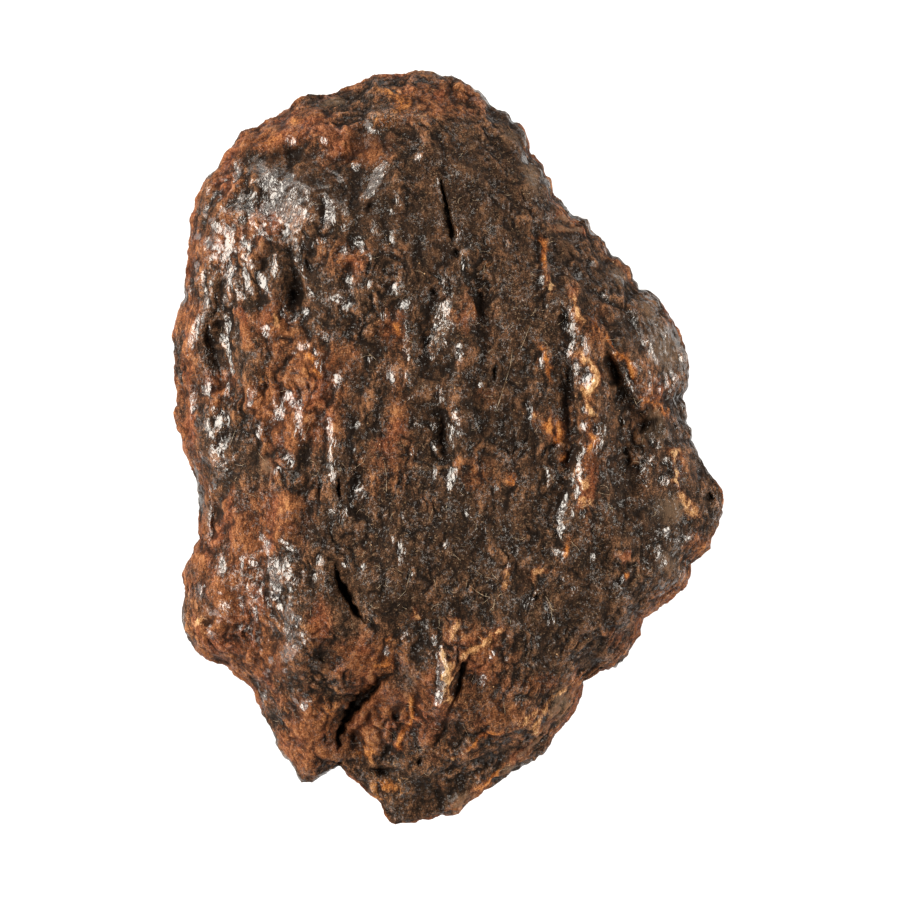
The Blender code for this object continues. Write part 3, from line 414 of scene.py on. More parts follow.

# Cracks, gaps and pits, carved and darkened with painted shade
CLEFTS = strokes(
    Cleft,
    (
        (0.4, 0.7, 25.8, 16.0, 29.0, 15.6, 32.4, 15.7),
        (0.35, 0.3, 24.6, 20.5, 24.7, 22.5, 25.0, 24.0),
        (0.35, 0.4, 25.6, 25.0, 26.6, 26.4, 27.2, 28.4),
        (0.5, 0.5, 20.8, 31.6, 21.2, 34.0, 21.8, 36.4, 22.2, 38.0),
        (0.4, 0.8, 29.4, 28.6, 29.2, 30.6), (0.4, 0.4, 30.6, 25.8, 31.4, 27.6),
        (1.0, 0.6, 22.0, 48.8, 21.8, 50.4, 21.6, 52.4, 21.5, 54.0),
        (1.9, 0.34, 33.6, 56.3, 33.8, 57.8, 34.3, 58.9, 35.0, 59.8, 35.7, 60.9, 36.5, 62.3),
        (1.0, 0.2, 44.0, 18.0, 44.6, 20.2, 45.0, 22.6, 45.2, 24.6),
        (0.6, 0.3, 45.4, 25.0, 45.8, 26.2), (0.5, 0.3, 37.2, 20.2, 36.9, 21.6),
        (0.4, 0.35, 42.2, 30.6, 41.9, 32.6, 41.9, 35.0), (0.6, 0.45, 43.6, 28.6, 42.9, 29.8),
        (0.25, 0.25, 41.4, 37.6, 43.0, 38.0, 44.8, 38.2),
        (0.4, 0.4, 44.5, 40.8, 44.4, 43.5, 44.6, 46.6), (0.6, 0.26, 34.0, 47.6, 34.0, 50.2),
        (0.6, 0.55, 60.5, 34.8, 60.8, 37.0, 61.1, 39.4),
        (0.5, 0.6, 62.4, 30.4, 63.0, 32.4, 63.4, 34.4), (0.8, 0.7, 64.0, 41.6, 64.2, 43.2),
        (0.9, 0.4, 67.4, 42.2, 67.7, 43.4), (0.6, 0.45, 69.4, 46.6, 69.9, 48.4),
        (0.8, 0.34, 70.9, 49.0, 70.9, 50.2),
        (1.7, 0.4, 39.4, 67.1, 38.0, 68.2, 36.7, 69.4, 35.4, 70.8, 34.5, 72.2, 33.9, 73.6, 33.6,
         75.2),
        (0.5, 0.26, 40.9, 68.8, 40.8, 71.6, 39.6, 73.2, 38.7, 75.2, 38.0, 76.6),
        (0.9, 0.34, 36.8, 76.8, 38.4, 77.2, 39.8, 77.0, 41.0, 77.4), (0.9, 0.7, 39.7, 71.4),
        (0.7, 0.22, 47.1, 65.2, 46.3, 67.0, 45.9, 69.0, 45.5, 69.9),
        (0.5, 0.26, 44.9, 72.0, 44.1, 73.6, 43.3, 74.8), (0.6, 0.35, 41.6, 75.6, 42.0, 76.4),
        (0.5, 0.3, 33.0, 73.4, 32.0, 74.2), (0.7, 0.4, 33.6, 75.8, 34.4, 76.6),
        (0.6, 0.3, 53.9, 59.1, 53.2, 60.0), (0.5, 0.35, 55.2, 19.9, 56.2, 20.7),
        (0.5, 0.35, 57.4, 22.1, 58.8, 22.5), (0.5, 0.6, 52.8, 72.8, 51.6, 74.2),
        (0.4, 0.5, 20.8, 62.0), (0.5, 0.35, 32.6, 66.4, 31.6, 64.6),
        (0.4, 0.3, 56.4, 38.4, 56.5, 41.0, 56.9, 43.6), (0.4, 0.35, 49.6, 36.0, 49.4, 38.4),
    ),
)

# Where each tone lies: amount, half-width across and down, and place
PATCHES = tuple(
    Patch(tone, amount, half_across, half_down, place)
    for tone, rows in {
        Tone.RUST: (
            (0.9, 4.2, 1.5, 26.0, 13.6), (0.9, 1.5, 3.4, 22.4, 16.8), (0.8, 3.0, 1.6, 30.6, 12.0),
            (0.7, 1.2, 11.0, 18.6, 30.0), (0.7, 1.1, 6.0, 18.8, 42.0), (0.6, 3.4, 2.6, 22.6, 24.4),
            (0.8, 3.0, 2.0, 35.5, 15.0), (0.7, 5.0, 2.2, 44.0, 9.8), (0.8, 1.4, 1.7, 26.8, 22.2),
            (0.6, 2.4, 1.6, 34.6, 26.2), (0.7, 2.0, 2.6, 27.4, 32.4), (0.7, 3.8, 3.4, 31.6, 37.0),
            (0.6, 3.0, 3.0, 31.6, 42.0), (0.7, 1.6, 2.0, 21.8, 38.8), (0.6, 2.2, 2.6, 26.4, 40.4),
            (0.6, 2.4, 3.0, 28.0, 43.0), (0.6, 2.6, 3.0, 28.6, 51.4), (0.8, 3.0, 3.6, 25.0, 53.4),
            (0.7, 1.4, 5.0, 20.0, 53.0), (0.8, 3.4, 3.4, 23.4, 60.4), (0.7, 2.4, 2.4, 21.0, 64.0),
            (0.8, 3.2, 4.0, 25.4, 66.4), (0.7, 3.0, 3.0, 29.6, 75.0), (0.9, 2.8, 3.4, 31.6, 73.0),
            (0.9, 1.0, 2.2, 32.0, 62.4), (0.8, 3.6, 2.2, 36.4, 65.8), (0.95, 2.6, 3.4, 37.2, 71.6),
            (0.6, 3.0, 4.0, 42.4, 70.6), (0.6, 3.4, 3.0, 47.6, 65.0), (0.4, 4.0, 3.4, 49.4, 71.0),
            (0.6, 2.6, 1.0, 54.6, 68.4), (0.5, 1.6, 1.2, 61.8, 64.0), (0.6, 2.0, 2.0, 47.2, 47.6),
            (0.6, 1.3, 1.3, 55.6, 42.8), (0.5, 1.2, 4.0, 39.8, 42.0), (0.6, 0.9, 1.0, 38.4, 44.6),
            (0.4, 3.0, 3.0, 38.6, 47.6), (0.6, 1.5, 2.2, 39.6, 33.0), (0.5, 2.0, 2.0, 46.8, 32.0),
            (0.5, 1.2, 1.0, 48.4, 39.2), (0.6, 1.6, 2.0, 59.2, 33.0), (0.7, 1.0, 6.0, 58.9, 46.8),
            (0.7, 2.0, 2.4, 65.4, 40.0), (0.6, 1.4, 1.2, 69.8, 54.2), (0.5, 1.6, 1.2, 66.8, 59.6),
        ),
        Tone.ORANGE: (
            (0.8, 1.4, 1.2, 40.0, 10.4), (0.7, 1.6, 1.0, 38.4, 12.4), (0.6, 1.2, 0.8, 38.6, 8.8),
            (0.6, 1.2, 0.8, 29.6, 12.0), (0.5, 2.6, 0.7, 27.0, 14.0), (0.5, 1.0, 1.4, 24.6, 17.6),
            (0.5, 0.8, 2.2, 19.6, 21.8), (0.4, 1.0, 1.0, 26.8, 22.4), (0.5, 1.4, 1.2, 31.4, 37.4),
            (0.5, 1.2, 1.6, 26.4, 38.0), (0.4, 1.2, 1.4, 29.2, 51.2), (0.6, 1.2, 2.0, 33.0, 70.8),
            (0.4, 0.7, 1.2, 31.8, 62.2), (0.7, 1.4, 0.9, 38.4, 66.2), (0.5, 1.4, 0.5, 39.2, 63.9),
            (0.8, 1.7, 1.3, 36.4, 75.0), (0.8, 1.8, 1.0, 38.8, 78.6), (0.6, 1.0, 0.6, 37.8, 80.0),
            (0.4, 1.6, 1.4, 48.6, 63.6), (0.5, 0.8, 0.4, 62.2, 64.1), (0.35, 0.8, 0.8, 46.0, 46.6),
            (0.5, 0.5, 0.5, 50.8, 24.3), (0.5, 0.6, 0.6, 48.9, 26.6), (0.5, 0.5, 0.8, 52.0, 26.4),
            (0.5, 0.7, 0.8, 50.6, 28.8), (0.7, 0.5, 0.9, 54.3, 26.7), (0.6, 0.5, 0.7, 70.3, 54.4),
            (0.4, 0.8, 1.2, 62.6, 27.6),
        ),
        Tone.OCHRE: (
            (0.5, 0.9, 0.6, 36.4, 75.4), (0.5, 0.5, 0.5, 39.3, 76.3), (0.5, 1.0, 0.7, 40.2, 78.0),
            (0.5, 0.4, 0.6, 71.2, 47.8),
        ),
        # Grey-brown patches, partly real tone and partly painted reflection on rims and bright
        # facets
        Tone.GREY_AND_SHEEN: (
            (0.8, 2.2, 0.5, 26.4, 12.6), (0.9, 1.5, 0.7, 33.2, 10.2), (0.8, 1.6, 3.6, 53.4, 17.0),
            (0.7, 1.4, 1.4, 51.2, 13.2), (0.6, 1.8, 1.2, 56.2, 22.2), (0.7, 1.2, 2.2, 62.2, 27.2),
            (0.8, 1.6, 1.4, 65.2, 30.6), (0.7, 3.0, 4.4, 66.8, 34.8), (0.7, 1.6, 2.4, 65.4, 42.6),
            (0.8, 2.6, 2.0, 67.0, 50.8), (0.6, 2.4, 2.4, 67.2, 56.0), (0.95, 1.3, 4.4, 56.2, 72.0),
            (0.9, 2.6, 0.9, 51.6, 77.2), (0.8, 2.6, 0.9, 47.0, 79.8), (0.6, 0.8, 3.6, 20.4, 51.6),
            (0.5, 1.4, 3.8, 44.2, 32.4), (0.5, 1.3, 2.6, 26.6, 47.0), (0.5, 2.0, 3.4, 40.8, 67.6),
        ),
        Tone.CHAR_AND_CRACK_SHADE: (
            (0.9, 3.8, 0.8, 29.4, 15.7), (0.8, 4.0, 3.0, 32.6, 19.6), (0.75, 2.6, 3.0, 28.0, 19.0),
            (0.8, 1.6, 3.6, 30.8, 27.0), (0.8, 0.9, 3.6, 21.5, 35.6), (0.7, 0.6, 1.6, 24.8, 21.6),
            (0.7, 0.8, 2.0, 26.4, 25.8), (0.7, 3.0, 1.2, 37.6, 14.4), (0.6, 3.4, 4.4, 38.0, 20.4),
            (0.6, 5.5, 7.0, 48.2, 18.4), (0.6, 3.4, 4.0, 42.4, 24.4), (0.5, 5.0, 5.0, 56.4, 25.4),
            (0.5, 3.0, 5.0, 50.6, 37.4), (0.6, 1.4, 6.4, 35.8, 40.8), (0.6, 2.4, 6.0, 43.0, 41.6),
            (0.6, 4.2, 4.6, 50.0, 43.0), (0.6, 6.5, 4.6, 46.4, 54.4), (0.5, 3.0, 3.0, 37.0, 52.4),
            (0.6, 3.0, 2.0, 39.0, 60.0), (0.5, 2.2, 3.4, 31.0, 52.4), (0.8, 1.2, 2.6, 32.0, 65.0),
            (0.5, 1.2, 2.6, 34.2, 62.8), (0.8, 1.2, 4.0, 61.0, 37.0), (0.7, 1.8, 3.2, 62.8, 32.2),
            (0.9, 1.6, 2.0, 63.8, 42.4), (0.7, 2.8, 5.0, 61.6, 47.4), (0.7, 3.6, 2.2, 63.8, 52.8),
            (0.6, 4.6, 3.4, 58.4, 60.6), (0.9, 1.8, 2.0, 59.4, 66.0), (0.5, 4.0, 3.0, 54.0, 65.0),
            (0.5, 1.0, 1.0, 69.6, 47.4), (0.6, 2.4, 1.6, 50.6, 75.4), (0.7, 3.2, 1.6, 43.8, 79.2),
            (0.4, 1.2, 1.4, 39.6, 71.4), (0.5, 0.8, 1.6, 20.8, 61.4), (0.5, 1.0, 1.0, 58.2, 22.4),
            (0.5, 1.0, 0.8, 55.6, 20.2),
        ),
        Tone.GRIT: (
            (0.9, 10.0, 5.4, 45.0, 54.6), (0.8, 7.0, 5.0, 41.0, 47.4), (0.8, 8.0, 7.0, 48.0, 17.6),
            (0.7, 6.0, 6.0, 52.0, 33.0), (0.7, 6.0, 6.0, 58.0, 58.0), (0.6, 5.0, 5.0, 54.0, 66.0),
            (0.5, 3.0, 4.0, 34.4, 63.0),
        ),
        Tone.GLOSS: (
            (0.4, 5.0, 8.0, 22.0, 25.0), (0.6, 4.4, 4.4, 29.0, 20.0), (0.35, 4.0, 6.0, 21.4, 43.0),
            (0.4, 6.0, 7.0, 26.0, 60.0), (0.9, 3.4, 5.4, 66.6, 34.8), (0.45, 4.0, 4.0, 67.0, 56.6),
        ),
    }.items()
    for amount, half_across, half_down, *place in rows
)


class Unevenness:
    """Smooth seeded noise in space, about -1 to 1."""

    TABLE = 256

    def __init__(self, seed: int) -> None:
        """Draw the noise's table of directions.

        Args:
            seed: number that settles the draw.
        """
        chance = np.random.default_rng(seed)
        self.order = chance.permutation(self.TABLE)
        leans = chance.normal(size=(self.TABLE, 3))
        self.leans = leans / np.linalg.norm(leans, axis=1, keepdims=True)

    def at(self, spots: np.ndarray, size: float | Sequence[float]) -> np.ndarray:
        """Read the noise.

        Args:
            spots: points, one a row.
            size: length of one swell, or one length for each axis.

        Returns:
            One value for each point.
        """
        cell = spots / np.asarray(size, float)
        base = np.floor(cell).astype(int)
        part = cell - base
        fade = part**3 * (part * (part * 6.0 - 15.0) + 10.0)
        total = np.zeros(len(spots))
        for corner in itertools.product((0, 1), repeat=3):
            near = (base + corner) % self.TABLE
            slot = self.order[near[:, 0]]
            slot = self.order[(slot + near[:, 1]) % self.TABLE]
            slot = self.order[(slot + near[:, 2]) % self.TABLE]
            share = np.prod(np.where(corner, fade, 1.0 - fade), axis=1)
            total += share * np.sum(self.leans[slot] * (part - corner), axis=1)
        return total * 1.7


def smooth_step(low: float, high: float, value: np.ndarray) -> np.ndarray:
    """0 below low, 1 above high and an even curve between."""
    share = np.clip((value - low) / (high - low), 0.0, 1.0)
    return share * share * (3.0 - 2.0 * share)


def on_face(place: Place) -> np.ndarray:
    """The model's own X and Y, in millimetres, of a place (across, down) on the face."""
    return np.array((place[0] - FIELD_CENTRE[0], FIELD_CENTRE[1] - place[1]))


@dataclass
class FaceRuler:
    """Measures points of the face against lines of places.

    Attributes:
        spots: X and Y of each point in millimetres.
        reach: how many half-widths from a line still count.
    """

    spots: np.ndarray
    reach: float = 3.4

    def beside(
        self, places: tuple[Place, ...], half_width: float, ends: float = 2.4
    ) -> tuple[np.ndarray, ...]:
        """Measure the points near a line.

        Args:
            places: the line's places, from the first to the last.
            half_width: width that sets how far the line reaches.
            ends: length of the taper at each end, in half-widths.

        Returns:
            The near points' numbers, their distance to the line, their signed distance, which
            is positive on the walker's left or to the right of a single place, and a taper that
            falls to 0 at the line's two ends.
        """
        line = np.array([on_face(place) for place in places])
        edge = half_width * self.reach
        low, high = line.min(axis=0) - edge, line.max(axis=0) + edge
        near = np.nonzero(np.all((self.spots > low) & (self.spots < high), axis=1))[0]
        spots = self.spots[near]
        if len(line) == 1:
            offset = spots - line[0]
            return near, np.hypot(offset[:, 0], offset[:, 1]), offset[:, 0], np.ones(len(near))
        best = np.full(len(spots), np.inf)
        signed = np.zeros(len(spots))
        along = np.zeros(len(spots))
        runs = np.diff(line, axis=0)
        reached = np.concatenate(([0.0], np.cumsum(np.hypot(runs[:, 0], runs[:, 1]))))
        for start, run, before in zip(line, runs, reached):
            offset = spots - start
            share = np.clip(offset @ run / (run @ run), 0.0, 1.0)
            gap = offset - share[:, None] * run
            distance = np.hypot(gap[:, 0], gap[:, 1])
            across = (run[0] * offset[:, 1] - run[1] * offset[:, 0]) / math.hypot(*run)
            nearer = distance < best
            best = np.where(nearer, distance, best)
            signed = np.where(nearer, across, signed)
            along = np.where(nearer, before + share * math.hypot(*run), along)
        end = min(0.5 * reached[-1], ends * half_width)
        taper = smooth_step(-0.2, 1.0, np.minimum(along, reached[-1] - along) / end)
        return near, best, signed, taper


@dataclass
class Skin:
    """A closed mesh as arrays, in millimetres, with what its faces and edges join.

    Attributes:
        points: the vertices.
        edges: pairs of vertex numbers.
        triangles: triples of vertex numbers.
    """

    points: np.ndarray
    edges: np.ndarray
    triangles: np.ndarray

    def normals(self) -> np.ndarray:
        """Outward unit normals at the vertices."""
        corners = self.points[self.triangles]
        flat = np.cross(corners[:, 1] - corners[:, 0], corners[:, 2] - corners[:, 0])
        total = np.zeros_like(self.points)
        for corner in range(3):
            for axis in range(3):
                total[:, axis] += np.bincount(
                    self.triangles[:, corner], flat[:, axis], len(self.points)
                )
        return total / np.maximum(np.linalg.norm(total, axis=1, keepdims=True), 1e-12)

    def evened(self, values: np.ndarray, rounds: int) -> np.ndarray:
        """Values at the vertices after averaging with their neighbours some rounds."""
        first, second = self.edges[:, 0], self.edges[:, 1]
        size = len(self.points)
        count = np.bincount(first, minlength=size) + np.bincount(second, minlength=size) + 1.0
        table = values.reshape(size, -1).astype(float)
        for _ in range(rounds):
            for column in range(table.shape[1]):
                own = table[:, column]
                around = np.bincount(first, own[second], size)
                around = around + np.bincount(second, own[first], size)
                table[:, column] = (own + around) / count
        return table.reshape(values.shape)


@dataclass
class Meteorite:
    """The rusted iron mass: its fine surface, its tones and its finish.

    Attributes:
        node: the CAD solid whose shape it refines.
        levels: rounds of subdivision.
        triangles: how many are kept at most.
        seed: settles the noise.
        face_fade: upward parts of the normal between which the face's relief comes in.
        lump_height: height of the face's lumps, in millimetres.
        bead_height: height of the beads where the face is gritty, in millimetres.
        grain_height: height of the face's finest grain, in millimetres.
        wall_height: height of the lumps on walls and underside, in millimetres.
        stand_rounds: rounds of averaging that tell a crest from a hollow.
        stand_full: height over its surroundings at which a crest counts as full, in millimetres.
        outline_share: share of the way that the edge is moved to the outline.
        gloss_spread: width of a slope's gloss over the slope's own.
        scarp_ends: taper of a broken edge, in half-widths.
        cleft_ends: taper of a cleft, in half-widths.
        crest_tone: amount of a crest's own tone on its back.
    """

    node: bpy.types.Object
    levels: int = 3
    triangles: int = 196000
    seed: int = 7
    face_fade: tuple[float, float] = (0.12, 0.5)
    lump_height: float = 0.5
    bead_height: float = 0.2
    grain_height: float = 0.07
    wall_height: float = 0.3
    stand_rounds: int = 24
    stand_full: float = 0.1
    outline_share: float = 0.92
    gloss_spread: float = 1.25
    scarp_ends: float = 4.0
    cleft_ends: float = 7.0
    crest_tone: float = 0.88

    def divided(self) -> bpy.types.Mesh:
        """The CAD solid's surface, welded and subdivided to smooth small faces.

        Returns:
            A new mesh.
        """
        mesh = self.node.data.copy()
        form = bmesh.new()
        form.from_mesh(mesh)
        bmesh.ops.remove_doubles(form, verts=form.verts[:], dist=1e-7)
        form.to_mesh(mesh)
        form.free()
        carrier = bpy.data.objects.new("carrier", mesh)
        bpy.context.scene.collection.objects.link(carrier)
        rounding = carrier.modifiers.new("rounding", "SUBSURF")
        rounding.levels = rounding.render_levels = self.levels
        graph = bpy.context.evaluated_depsgraph_get()
        fine = bpy.data.meshes.new_from_object(carrier.evaluated_get(graph))
        bpy.data.objects.remove(carrier)
        form = bmesh.new()
        form.from_mesh(fine)
        bmesh.ops.triangulate(form, faces=form.faces[:])
        form.to_mesh(fine)
        form.free()
        return fine

    @staticmethod
    def read(mesh: bpy.types.Mesh) -> Skin:
        """The mesh as arrays in millimetres."""
        points = np.empty(len(mesh.vertices) * 3, np.float32)
        mesh.vertices.foreach_get("co", points)
        edges = np.empty(len(mesh.edges) * 2, np.int32)
        mesh.edges.foreach_get("vertices", edges)
        corners = np.empty(len(mesh.polygons) * 3, np.int32)
        mesh.polygons.foreach_get("vertices", corners)
        return Skin(
            points.reshape(-1, 3).astype(float) / MM, edges.reshape(-1, 2), corners.reshape(-1, 3)
        )

    def face_relief(self, spots: np.ndarray, tilt: np.ndarray, chop: np.ndarray) -> np.ndarray:
        """Height that the slopes, crests, broken edges and clefts add to the face.

        Args:
            spots: X and Y of each point, in millimetres.
            tilt: how steeply the smooth face rises to the right at each point.
            chop: noise of about a millimetre, which makes the strokes uneven.

        Returns:
            One height for each point.
        """
        height = np.zeros(len(spots))
        ruler = FaceRuler(spots)
        for slope in SLOPES:
            near, distance, signed, taper = ruler.beside(slope.places, slope.half_width)
            fall = np.exp(-((distance / slope.half_width) ** 2) / 2.0)
            uneven = np.clip(1.0 + 0.5 * chop[near], 0.3, 1.5) * (0.4 + 0.6 * taper)
            height[near] += (slope.lean - tilt[near]) * signed * fall * uneven
        for crest in CRESTS:
            near, distance, _, taper = ruler.beside(crest.places, crest.half_width)
            fall = np.exp(-((distance / crest.half_width) ** 2))
            height[near] += crest.rise * fall * taper * np.clip(0.5 + 0.9 * chop[near], 0.0, 1.4)
        for scarp in SCARPS:
            near, distance, signed, taper = ruler.beside(
                scarp.places, scarp.half_width, self.scarp_ends
            )
            fall = np.exp(0.5 - (distance / scarp.half_width) ** 2 / 2.0)
            rise = signed / scarp.half_width * fall
            uneven = np.clip(1.0 + 0.4 * chop[near], 0.4, 1.4)
            height[near] += scarp.drop / 2.0 * rise * taper * uneven
        for cleft in CLEFTS:
            near, distance, _, taper = ruler.beside(
                cleft.places, cleft.half_width, self.cleft_ends
            )
            uneven = np.clip(1.0 + 0.5 * chop[near], 0.5, 1.5)
            width = cleft.half_width * (0.2 + 0.8 * taper) * uneven
            height[near] -= cleft.depth * taper * np.exp(-((distance / width) ** 2))
        return height

    def tones(
        self, spots: np.ndarray, upper: np.ndarray, rough: np.ndarray, chop: np.ndarray
    ) -> dict[Tone, np.ndarray]:
        """Amount of each tone at each point.

        Args:
            spots: X and Y of each point, in millimetres.
            upper: 1 on the broad face, 0 on the walls and underside.
            rough: noise that breaks up the tones of the walls and underside.
            chop: noise of about a millimetre, which makes the strokes uneven.

        Returns:
            An amount for every tone, mostly 0 to 1.
        """
        amounts = {tone: np.zeros(len(spots)) for tone in Tone}
        for patch in PATCHES:
            offset = (spots - on_face(patch.place)) / (patch.half_across, patch.half_down)
            rise = patch.amount * np.exp(-np.sum(offset**2, axis=1))
            amounts[patch.tone] = 1.0 - (1.0 - amounts[patch.tone]) * (1.0 - rise)
        ruler = FaceRuler(spots)
        for crest in CRESTS:
            near, distance, _, taper = ruler.beside(crest.places, crest.half_width)
            width = crest.half_width * np.clip(1.1 + 1.5 * chop[near], 0.2, 2.4)
            rise = np.exp(-((distance / width) ** 2)) * (0.3 + 0.7 * taper)
            own = amounts[crest.tone]
            own[near] = np.maximum(own[near], self.crest_tone * rise)
            amounts[Tone.RUST][near] = np.maximum(amounts[Tone.RUST][near], rise)
            amounts[Tone.CHAR_AND_CRACK_SHADE][near] *= 1.0 - 0.8 * rise
            amounts[Tone.GRIT][near] *= 1.0 - 0.7 * rise
        # Clefts raise the dark tone and clear the lighter ones: painted shade in cracks and gaps
        for cleft in CLEFTS:
            near, distance, _, taper = ruler.beside(
                cleft.places, cleft.half_width, self.cleft_ends
            )
            rise = np.exp(-((distance / cleft.half_width / (0.3 + 0.7 * taper)) ** 2)) * taper
            rise *= min(1.0, 0.15 + 0.4 * cleft.depth)
            amounts[Tone.CHAR_AND_CRACK_SHADE][near] = np.maximum(amounts[Tone.CHAR_AND_CRACK_SHADE][near], rise)
            for tone in (Tone.RUST, Tone.ORANGE, Tone.OCHRE, Tone.CREAM, Tone.GREY_AND_SHEEN, Tone.GLOSS):
                amounts[tone][near] *= 1.0 - rise
        for slope in SLOPES:
            near, distance, _, taper = ruler.beside(slope.places, slope.half_width)
            rise = np.exp(-((distance / (slope.half_width * self.gloss_spread)) ** 2))
            rise *= 0.5 + 0.5 * taper
            amounts[Tone.GLOSS][near] = np.maximum(amounts[Tone.GLOSS][near], rise)
        below = 1.0 - upper
        wall = {
            Tone.RUST: 0.8 * smooth_step(-0.3, 0.45, rough),
            Tone.CHAR_AND_CRACK_SHADE: 0.9 * smooth_step(0.15, -0.45, rough),
            Tone.GREY_AND_SHEEN: 0.45 * smooth_step(0.2, -0.3, np.abs(rough)),
            Tone.ORANGE: 0.6 * smooth_step(0.42, 0.7, rough),
            Tone.GLOSS: 0.15 + 0.4 * smooth_step(-0.1, 0.4, -rough),
        }
        for tone, amount in wall.items():
            amounts[tone] = amounts[tone] * upper + amount * below
        for tone in (Tone.OCHRE, Tone.CREAM, Tone.GRIT):
            amounts[tone] = amounts[tone] * upper
        return amounts

    def true_outline(self, points: np.ndarray, rim: float) -> np.ndarray:
        """Move the points in plan so that the edge follows the outline read off the face.

        Args:
            points: the vertices, in millimetres.
            rim: how strongly the move fades inwards.

        Returns:
            The moved points.
        """
        pole = on_face(OUTLINE_POLE)
        corners = np.array([on_face(place) for place in OUTLINE]) - pole
        wanted_at = np.arctan2(corners[:, 1], corners[:, 0])
        order = np.argsort(wanted_at)
        wanted = np.hypot(corners[:, 0], corners[:, 1])
        plan = points[:, :2] - pole
        bearing = np.arctan2(plan[:, 1], plan[:, 0])
        away = np.hypot(plan[:, 0], plan[:, 1])
        bins = 720
        slot = ((bearing + math.pi) / (2.0 * math.pi) * bins).astype(int) % bins
        reached = np.zeros(bins)
        np.maximum.at(reached, slot, away)
        spread = np.array([np.roll(reached, turn) for turn in range(-2, 3)])
        reached = np.mean(np.where(spread > 0.0, spread, np.max(spread, axis=0)), axis=0)
        middle = (np.arange(bins) + 0.5) / bins * 2.0 * math.pi - math.pi
        target = np.interp(middle, wanted_at[order], wanted[order], period=2.0 * math.pi)
        ratio = np.interp(bearing, middle, target / reached, period=2.0 * math.pi)
        share = away / np.interp(bearing, middle, reached, period=2.0 * math.pi)
        factor = 1.0 + (ratio - 1.0) * np.clip(share, 0.0, 1.0) ** rim * self.outline_share
        moved = points.copy()
        moved[:, :2] = pole + plan * factor[:, None]
        return moved

    def shaped(self, skin: Skin) -> tuple[Skin, dict[str, np.ndarray]]:
        """Carve the fine surface.

        Args:
            skin: the smooth surface.

        Returns:
            The carved surface, and its layers by name: the tones; "stand", how far each point
            stands out of its surroundings, from -1 in a hollow to 1 on a crest; and "swell",
            the height of its lump, from 0 to 1.
        """
        noise = Unevenness(self.seed)
        detail = Unevenness(self.seed + 1)
        skin.points = self.true_outline(skin.points, 8.0)
        normals = skin.normals()
        upper = smooth_step(*self.face_fade, normals[:, 2])
        tilt = np.clip(-normals[:, 0] / np.maximum(normals[:, 2], 0.3), -1.4, 1.4)
        bend = np.column_stack([noise.at(skin.points + shift, 2.6) for shift in (0.0, 31.7)])
        wriggle = np.column_stack([detail.at(skin.points + shift, 0.9) for shift in (0.0, 17.3)])
        chop = detail.at(skin.points + 5.1, 1.1)
        flat = skin.points[:, :2] + 0.15 * bend + 0.16 * wriggle
        rough = noise.at(skin.points, 7.0) + 0.5 * detail.at(skin.points, 2.6)
        amounts = self.tones(flat + 0.25 * bend, upper, rough, chop)
        grit = amounts[Tone.GRIT]
        bent = skin.points + np.column_stack((0.9 * bend + 0.25 * wriggle, 0.0 * chop))
        swells = noise.at(bent, (1.9, 3.4, 2.4))
        blisters = np.abs(detail.at(bent + 9.0, (1.5, 2.6, 1.8)))
        beads = np.abs(noise.at(bent + 4.0, (0.8, 1.25, 1.0)))
        fine = noise.at(skin.points, 0.45)
        crinkled = 0.35 + 0.9 * smooth_step(-0.35, 0.45, noise.at(skin.points + 3.0, 5.0))
        lumps = 0.6 * swells + (0.85 * blisters + 0.65 * beads - 0.45) * crinkled
        calm = (1.0 - 0.65 * grit) * (1.0 - 0.5 * amounts[Tone.GLOSS])
        calm = calm * (1.0 - 0.5 * amounts[Tone.GREY_AND_SHEEN])
        face = self.lump_height * lumps * calm + self.grain_height * fine
        face += self.bead_height * (beads - 0.3) * grit
        wall = self.wall_height * (noise.at(skin.points, 3.2) + 0.6 * detail.at(skin.points, 1.5))
        wall += 0.35 * np.abs(detail.at(skin.points, (2.2, 2.2, 1.3))) + 0.22 * beads + 0.05 * fine
        relief = self.face_relief(flat, tilt, chop)
        contact = smooth_step(0.0, 2.5, skin.points[:, 2])
        push = face * upper + wall * (1.0 - upper) * contact
        points = skin.points + normals * push[:, None]
        points[:, 2] += relief * upper
        skin.points = self.true_outline(points, 14.0)
        skin.points[:, 2] = np.maximum(skin.points[:, 2], UNDERSIDE_LEVEL)
        smooth = skin.evened(skin.points, self.stand_rounds)
        normals = skin.normals()
        stand = np.sum((skin.points - smooth) * normals, axis=1)
        steep = 1.0 - smooth_step(0.46, 0.7, normals[:, 2])
        amounts[Tone.GLOSS] *= 1.0 - 0.8 * steep * smooth_step(0.7, 1.0, upper)
        layers = {tone.value: amount for tone, amount in amounts.items()}
        layers["stand"] = np.clip(stand / self.stand_full, -1.0, 1.0)
        layers["swell"] = np.clip(0.5 + lumps, 0.0, 1.0)
        return skin, layers

    def thinned(self, mesh: bpy.types.Mesh) -> bpy.types.Mesh:
        """The mesh with fewer triangles where it is even.

        Args:
            mesh: the carved mesh.

        Returns:
            A new mesh of about the wanted number of triangles.
        """
        carrier = bpy.data.objects.new("carrier", mesh)
        bpy.context.scene.collection.objects.link(carrier)
        thinning = carrier.modifiers.new("thinning", "DECIMATE")
        thinning.ratio = self.triangles / len(mesh.polygons)
        graph = bpy.context.evaluated_depsgraph_get()
        thin = bpy.data.meshes.new_from_object(carrier.evaluated_get(graph))
        bpy.data.objects.remove(carrier)
        thin.name = "meteorite_crust"
        return thin

